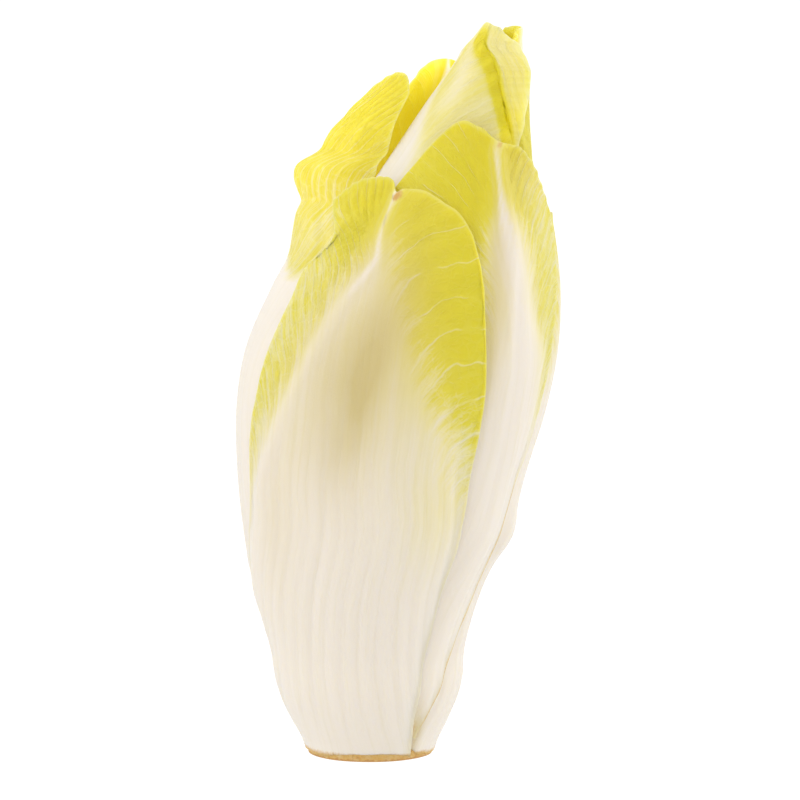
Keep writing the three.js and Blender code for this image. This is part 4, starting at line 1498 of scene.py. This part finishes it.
class EndiveSettings(bpy.types.PropertyGroup):
    """Sizes, colours and lights that a user would change."""

    lip: size_setting("Lip", "How far margins curl out", 0.35)
    flutes: size_setting("Flutes", "Depth of the flutes of the ribs", 0.1)
    blisters: size_setting("Blisters", "Height of the blisters of the blades", 0.15)
    puckers: size_setting("Puckers", "How far blades stand up between their veins", 0.16)
    swerve: size_setting("Swerve", "Slow unevenness of the leaves", 0.12)
    press: size_setting("Press", "How far margins are pressed on the leaf below", 0.15)
    press_width: size_setting("Press width", "How far from the margin the press starts", 7.0)
    nibble: size_setting("Nibble", "Unevenness of the margins", 0.35)
    blade_share: share_setting("Blade thickness", "Share of its thickness that a yellow blade keeps", 0.65)
    edge_share: share_setting("Edge thickness", "Share of the thickness left at the very edge", 0.35)
    edge_round: size_setting("Edge rounding", "Width over which the edge thins", 2.0)
    rim_wander: size_setting("Rim wander", "Unevenness of the rim of the cut", 0.25)
    cut_relief: size_setting("Cut relief", "Roughness of the cut face", 0.25)
    core_segments: IntProperty(
        name="Core segments", description="Facets round the cut core", default=96, min=3
    )
    crisp_angle: FloatProperty(
        name="Crisp angle", description="Edges sharper than this stay crisp",
        default=math.radians(50), subtype="ANGLE",
    )
    cream: colour_setting("Cream", "Ribs and feet of the leaves", (0.88, 0.805, 0.705))
    greenish: colour_setting("Greenish cream", "Faint streaks of the ribs", (0.78, 0.71, 0.5))
    pale: colour_setting("Pale yellow", "Where the rib turns to blade", (0.85, 0.76, 0.37))
    yellow: colour_setting("Yellow", "Blades of the leaves", (0.775, 0.67, 0.045))
    deep: colour_setting("Deep yellow", "Fullest blade, at its margins", (0.745, 0.635, 0.008))
    # Khaki is also the colour of the painted shade on the leaves.
    khaki: colour_setting("Khaki", "Stains of the ribs, and rings of the cut", (0.64, 0.52, 0.22))
    brown: colour_setting("Brown", "Browned edges and spots", (0.66, 0.4, 0.11))
    dark_brown: colour_setting("Dark brown", "Darkest of the cut", (0.5, 0.25, 0.08))
    flesh: colour_setting("Flesh", "Cut face of the core", (0.78, 0.62, 0.4))
    table_glow: FloatProperty(name="Table glow", description="Light of the table itself", default=1.0)
    sky: FloatProperty(name="Sky", description="Light from all round", default=0.92)
    key_power: power_setting("Key light", "Light from above left", 0.9)
    left_power: power_setting("Left light", "Light from the left", 0.35)
    fill_power: power_setting("Fill light", "Light from the right", 0.95)
    front_power: power_setting("Front light", "Light from the front", 0.1)


class LeafOperator:
    """What the operators for groups of leaves share."""

    bl_options = {"REGISTER", "UNDO"}

    def make(self, context, leaves, finish, vein_strength, glow_depth):
        """Adds the leaves of a group, with a material for each of their slots."""
        settings = context.scene.endive
        materials = {
            slot: leaf_material(f"{finish}_{slot}", settings, vein_strength, glow_depth)
            for slot in dict.fromkeys(leaf.slot for leaf in leaves)
        }
        for leaf in leaves:
            shaped_leaf(leaf, settings, materials[leaf.slot])
        return {"FINISHED"}


class ENDIVE_OT_core(bpy.types.Operator):
    """Add the cut core with its neck and cone"""

    bl_idname = "endive.core"
    bl_label = "Core"
    bl_options = {"REGISTER", "UNDO"}

    def execute(self, context):
        settings = context.scene.endive
        shaped_core(settings, core_material(settings))
        return {"FINISHED"}


class ENDIVE_OT_outer_leaves(LeafOperator, bpy.types.Operator):
    """Add the five leaves that close the head"""

    bl_idname = "endive.outer_leaves"
    bl_label = "Outer Leaves"

    def execute(self, context):
        return self.make(context, OUTER_LEAVES, "waxy", vein_strength=0.5, glow_depth=1.1 * MM)


class ENDIVE_OT_bud_leaves(LeafOperator, bpy.types.Operator):
    """Add the four leaves of the bud that stand out of the head"""

    bl_idname = "endive.bud_leaves"
    bl_label = "Bud Leaves"

    def execute(self, context):
        return self.make(context, BUD_LEAVES, "waxy", vein_strength=0.2, glow_depth=1.3 * MM)


class ENDIVE_OT_inner_leaves(LeafOperator, bpy.types.Operator):
    """Add the leaves wrapped inside the bud"""

    bl_idname = "endive.inner_leaves"
    bl_label = "Inner Leaves"

    def execute(self, context):
        return self.make(context, INNER_LEAVES, "waxy_inner", vein_strength=0.2, glow_depth=1.5 * MM)


class ENDIVE_OT_stage(bpy.types.Operator):
    """Add the white table, the sky, the lamps and the camera"""

    bl_idname = "endive.stage"
    bl_label = "Stage"
    bl_options = {"REGISTER", "UNDO"}

    def execute(self, context):
        settings = context.scene.endive
        add_table(settings)
        add_sky(context.scene, settings)
        for name, place, size in LAMPS:
            add_lamp(context.scene, name, place, size, getattr(settings, name + "_power"))
        add_camera(context.scene)
        return {"FINISHED"}


OPERATORS = (
    ENDIVE_OT_core,
    ENDIVE_OT_outer_leaves,
    ENDIVE_OT_bud_leaves,
    ENDIVE_OT_inner_leaves,
    ENDIVE_OT_stage,
)


class ENDIVE_PT_panel(bpy.types.Panel):
    """Buttons and settings in the sidebar"""

    bl_label = "Belgian Endive"
    bl_idname = "ENDIVE_PT_panel"
    bl_space_type = "VIEW_3D"
    bl_region_type = "UI"
    bl_category = "Endive"

    def draw(self, context):
        for operator in OPERATORS:
            self.layout.operator(operator.bl_idname)
        for name in EndiveSettings.__annotations__:
            self.layout.prop(context.scene.endive, name)


CLASSES = (EndiveSettings, *OPERATORS, ENDIVE_PT_panel)


def register():
    for item in CLASSES:
        bpy.utils.register_class(item)
    bpy.types.Scene.endive = PointerProperty(type=EndiveSettings)


def unregister():
    del bpy.types.Scene.endive
    for item in reversed(CLASSES):
        bpy.utils.unregister_class(item)


def main():
    register()
    for operator in OPERATORS:
        group, name = operator.bl_idname.split(".")
        getattr(getattr(bpy.ops, group), name)()
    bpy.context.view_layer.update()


if __name__ == "__main__":
    main()
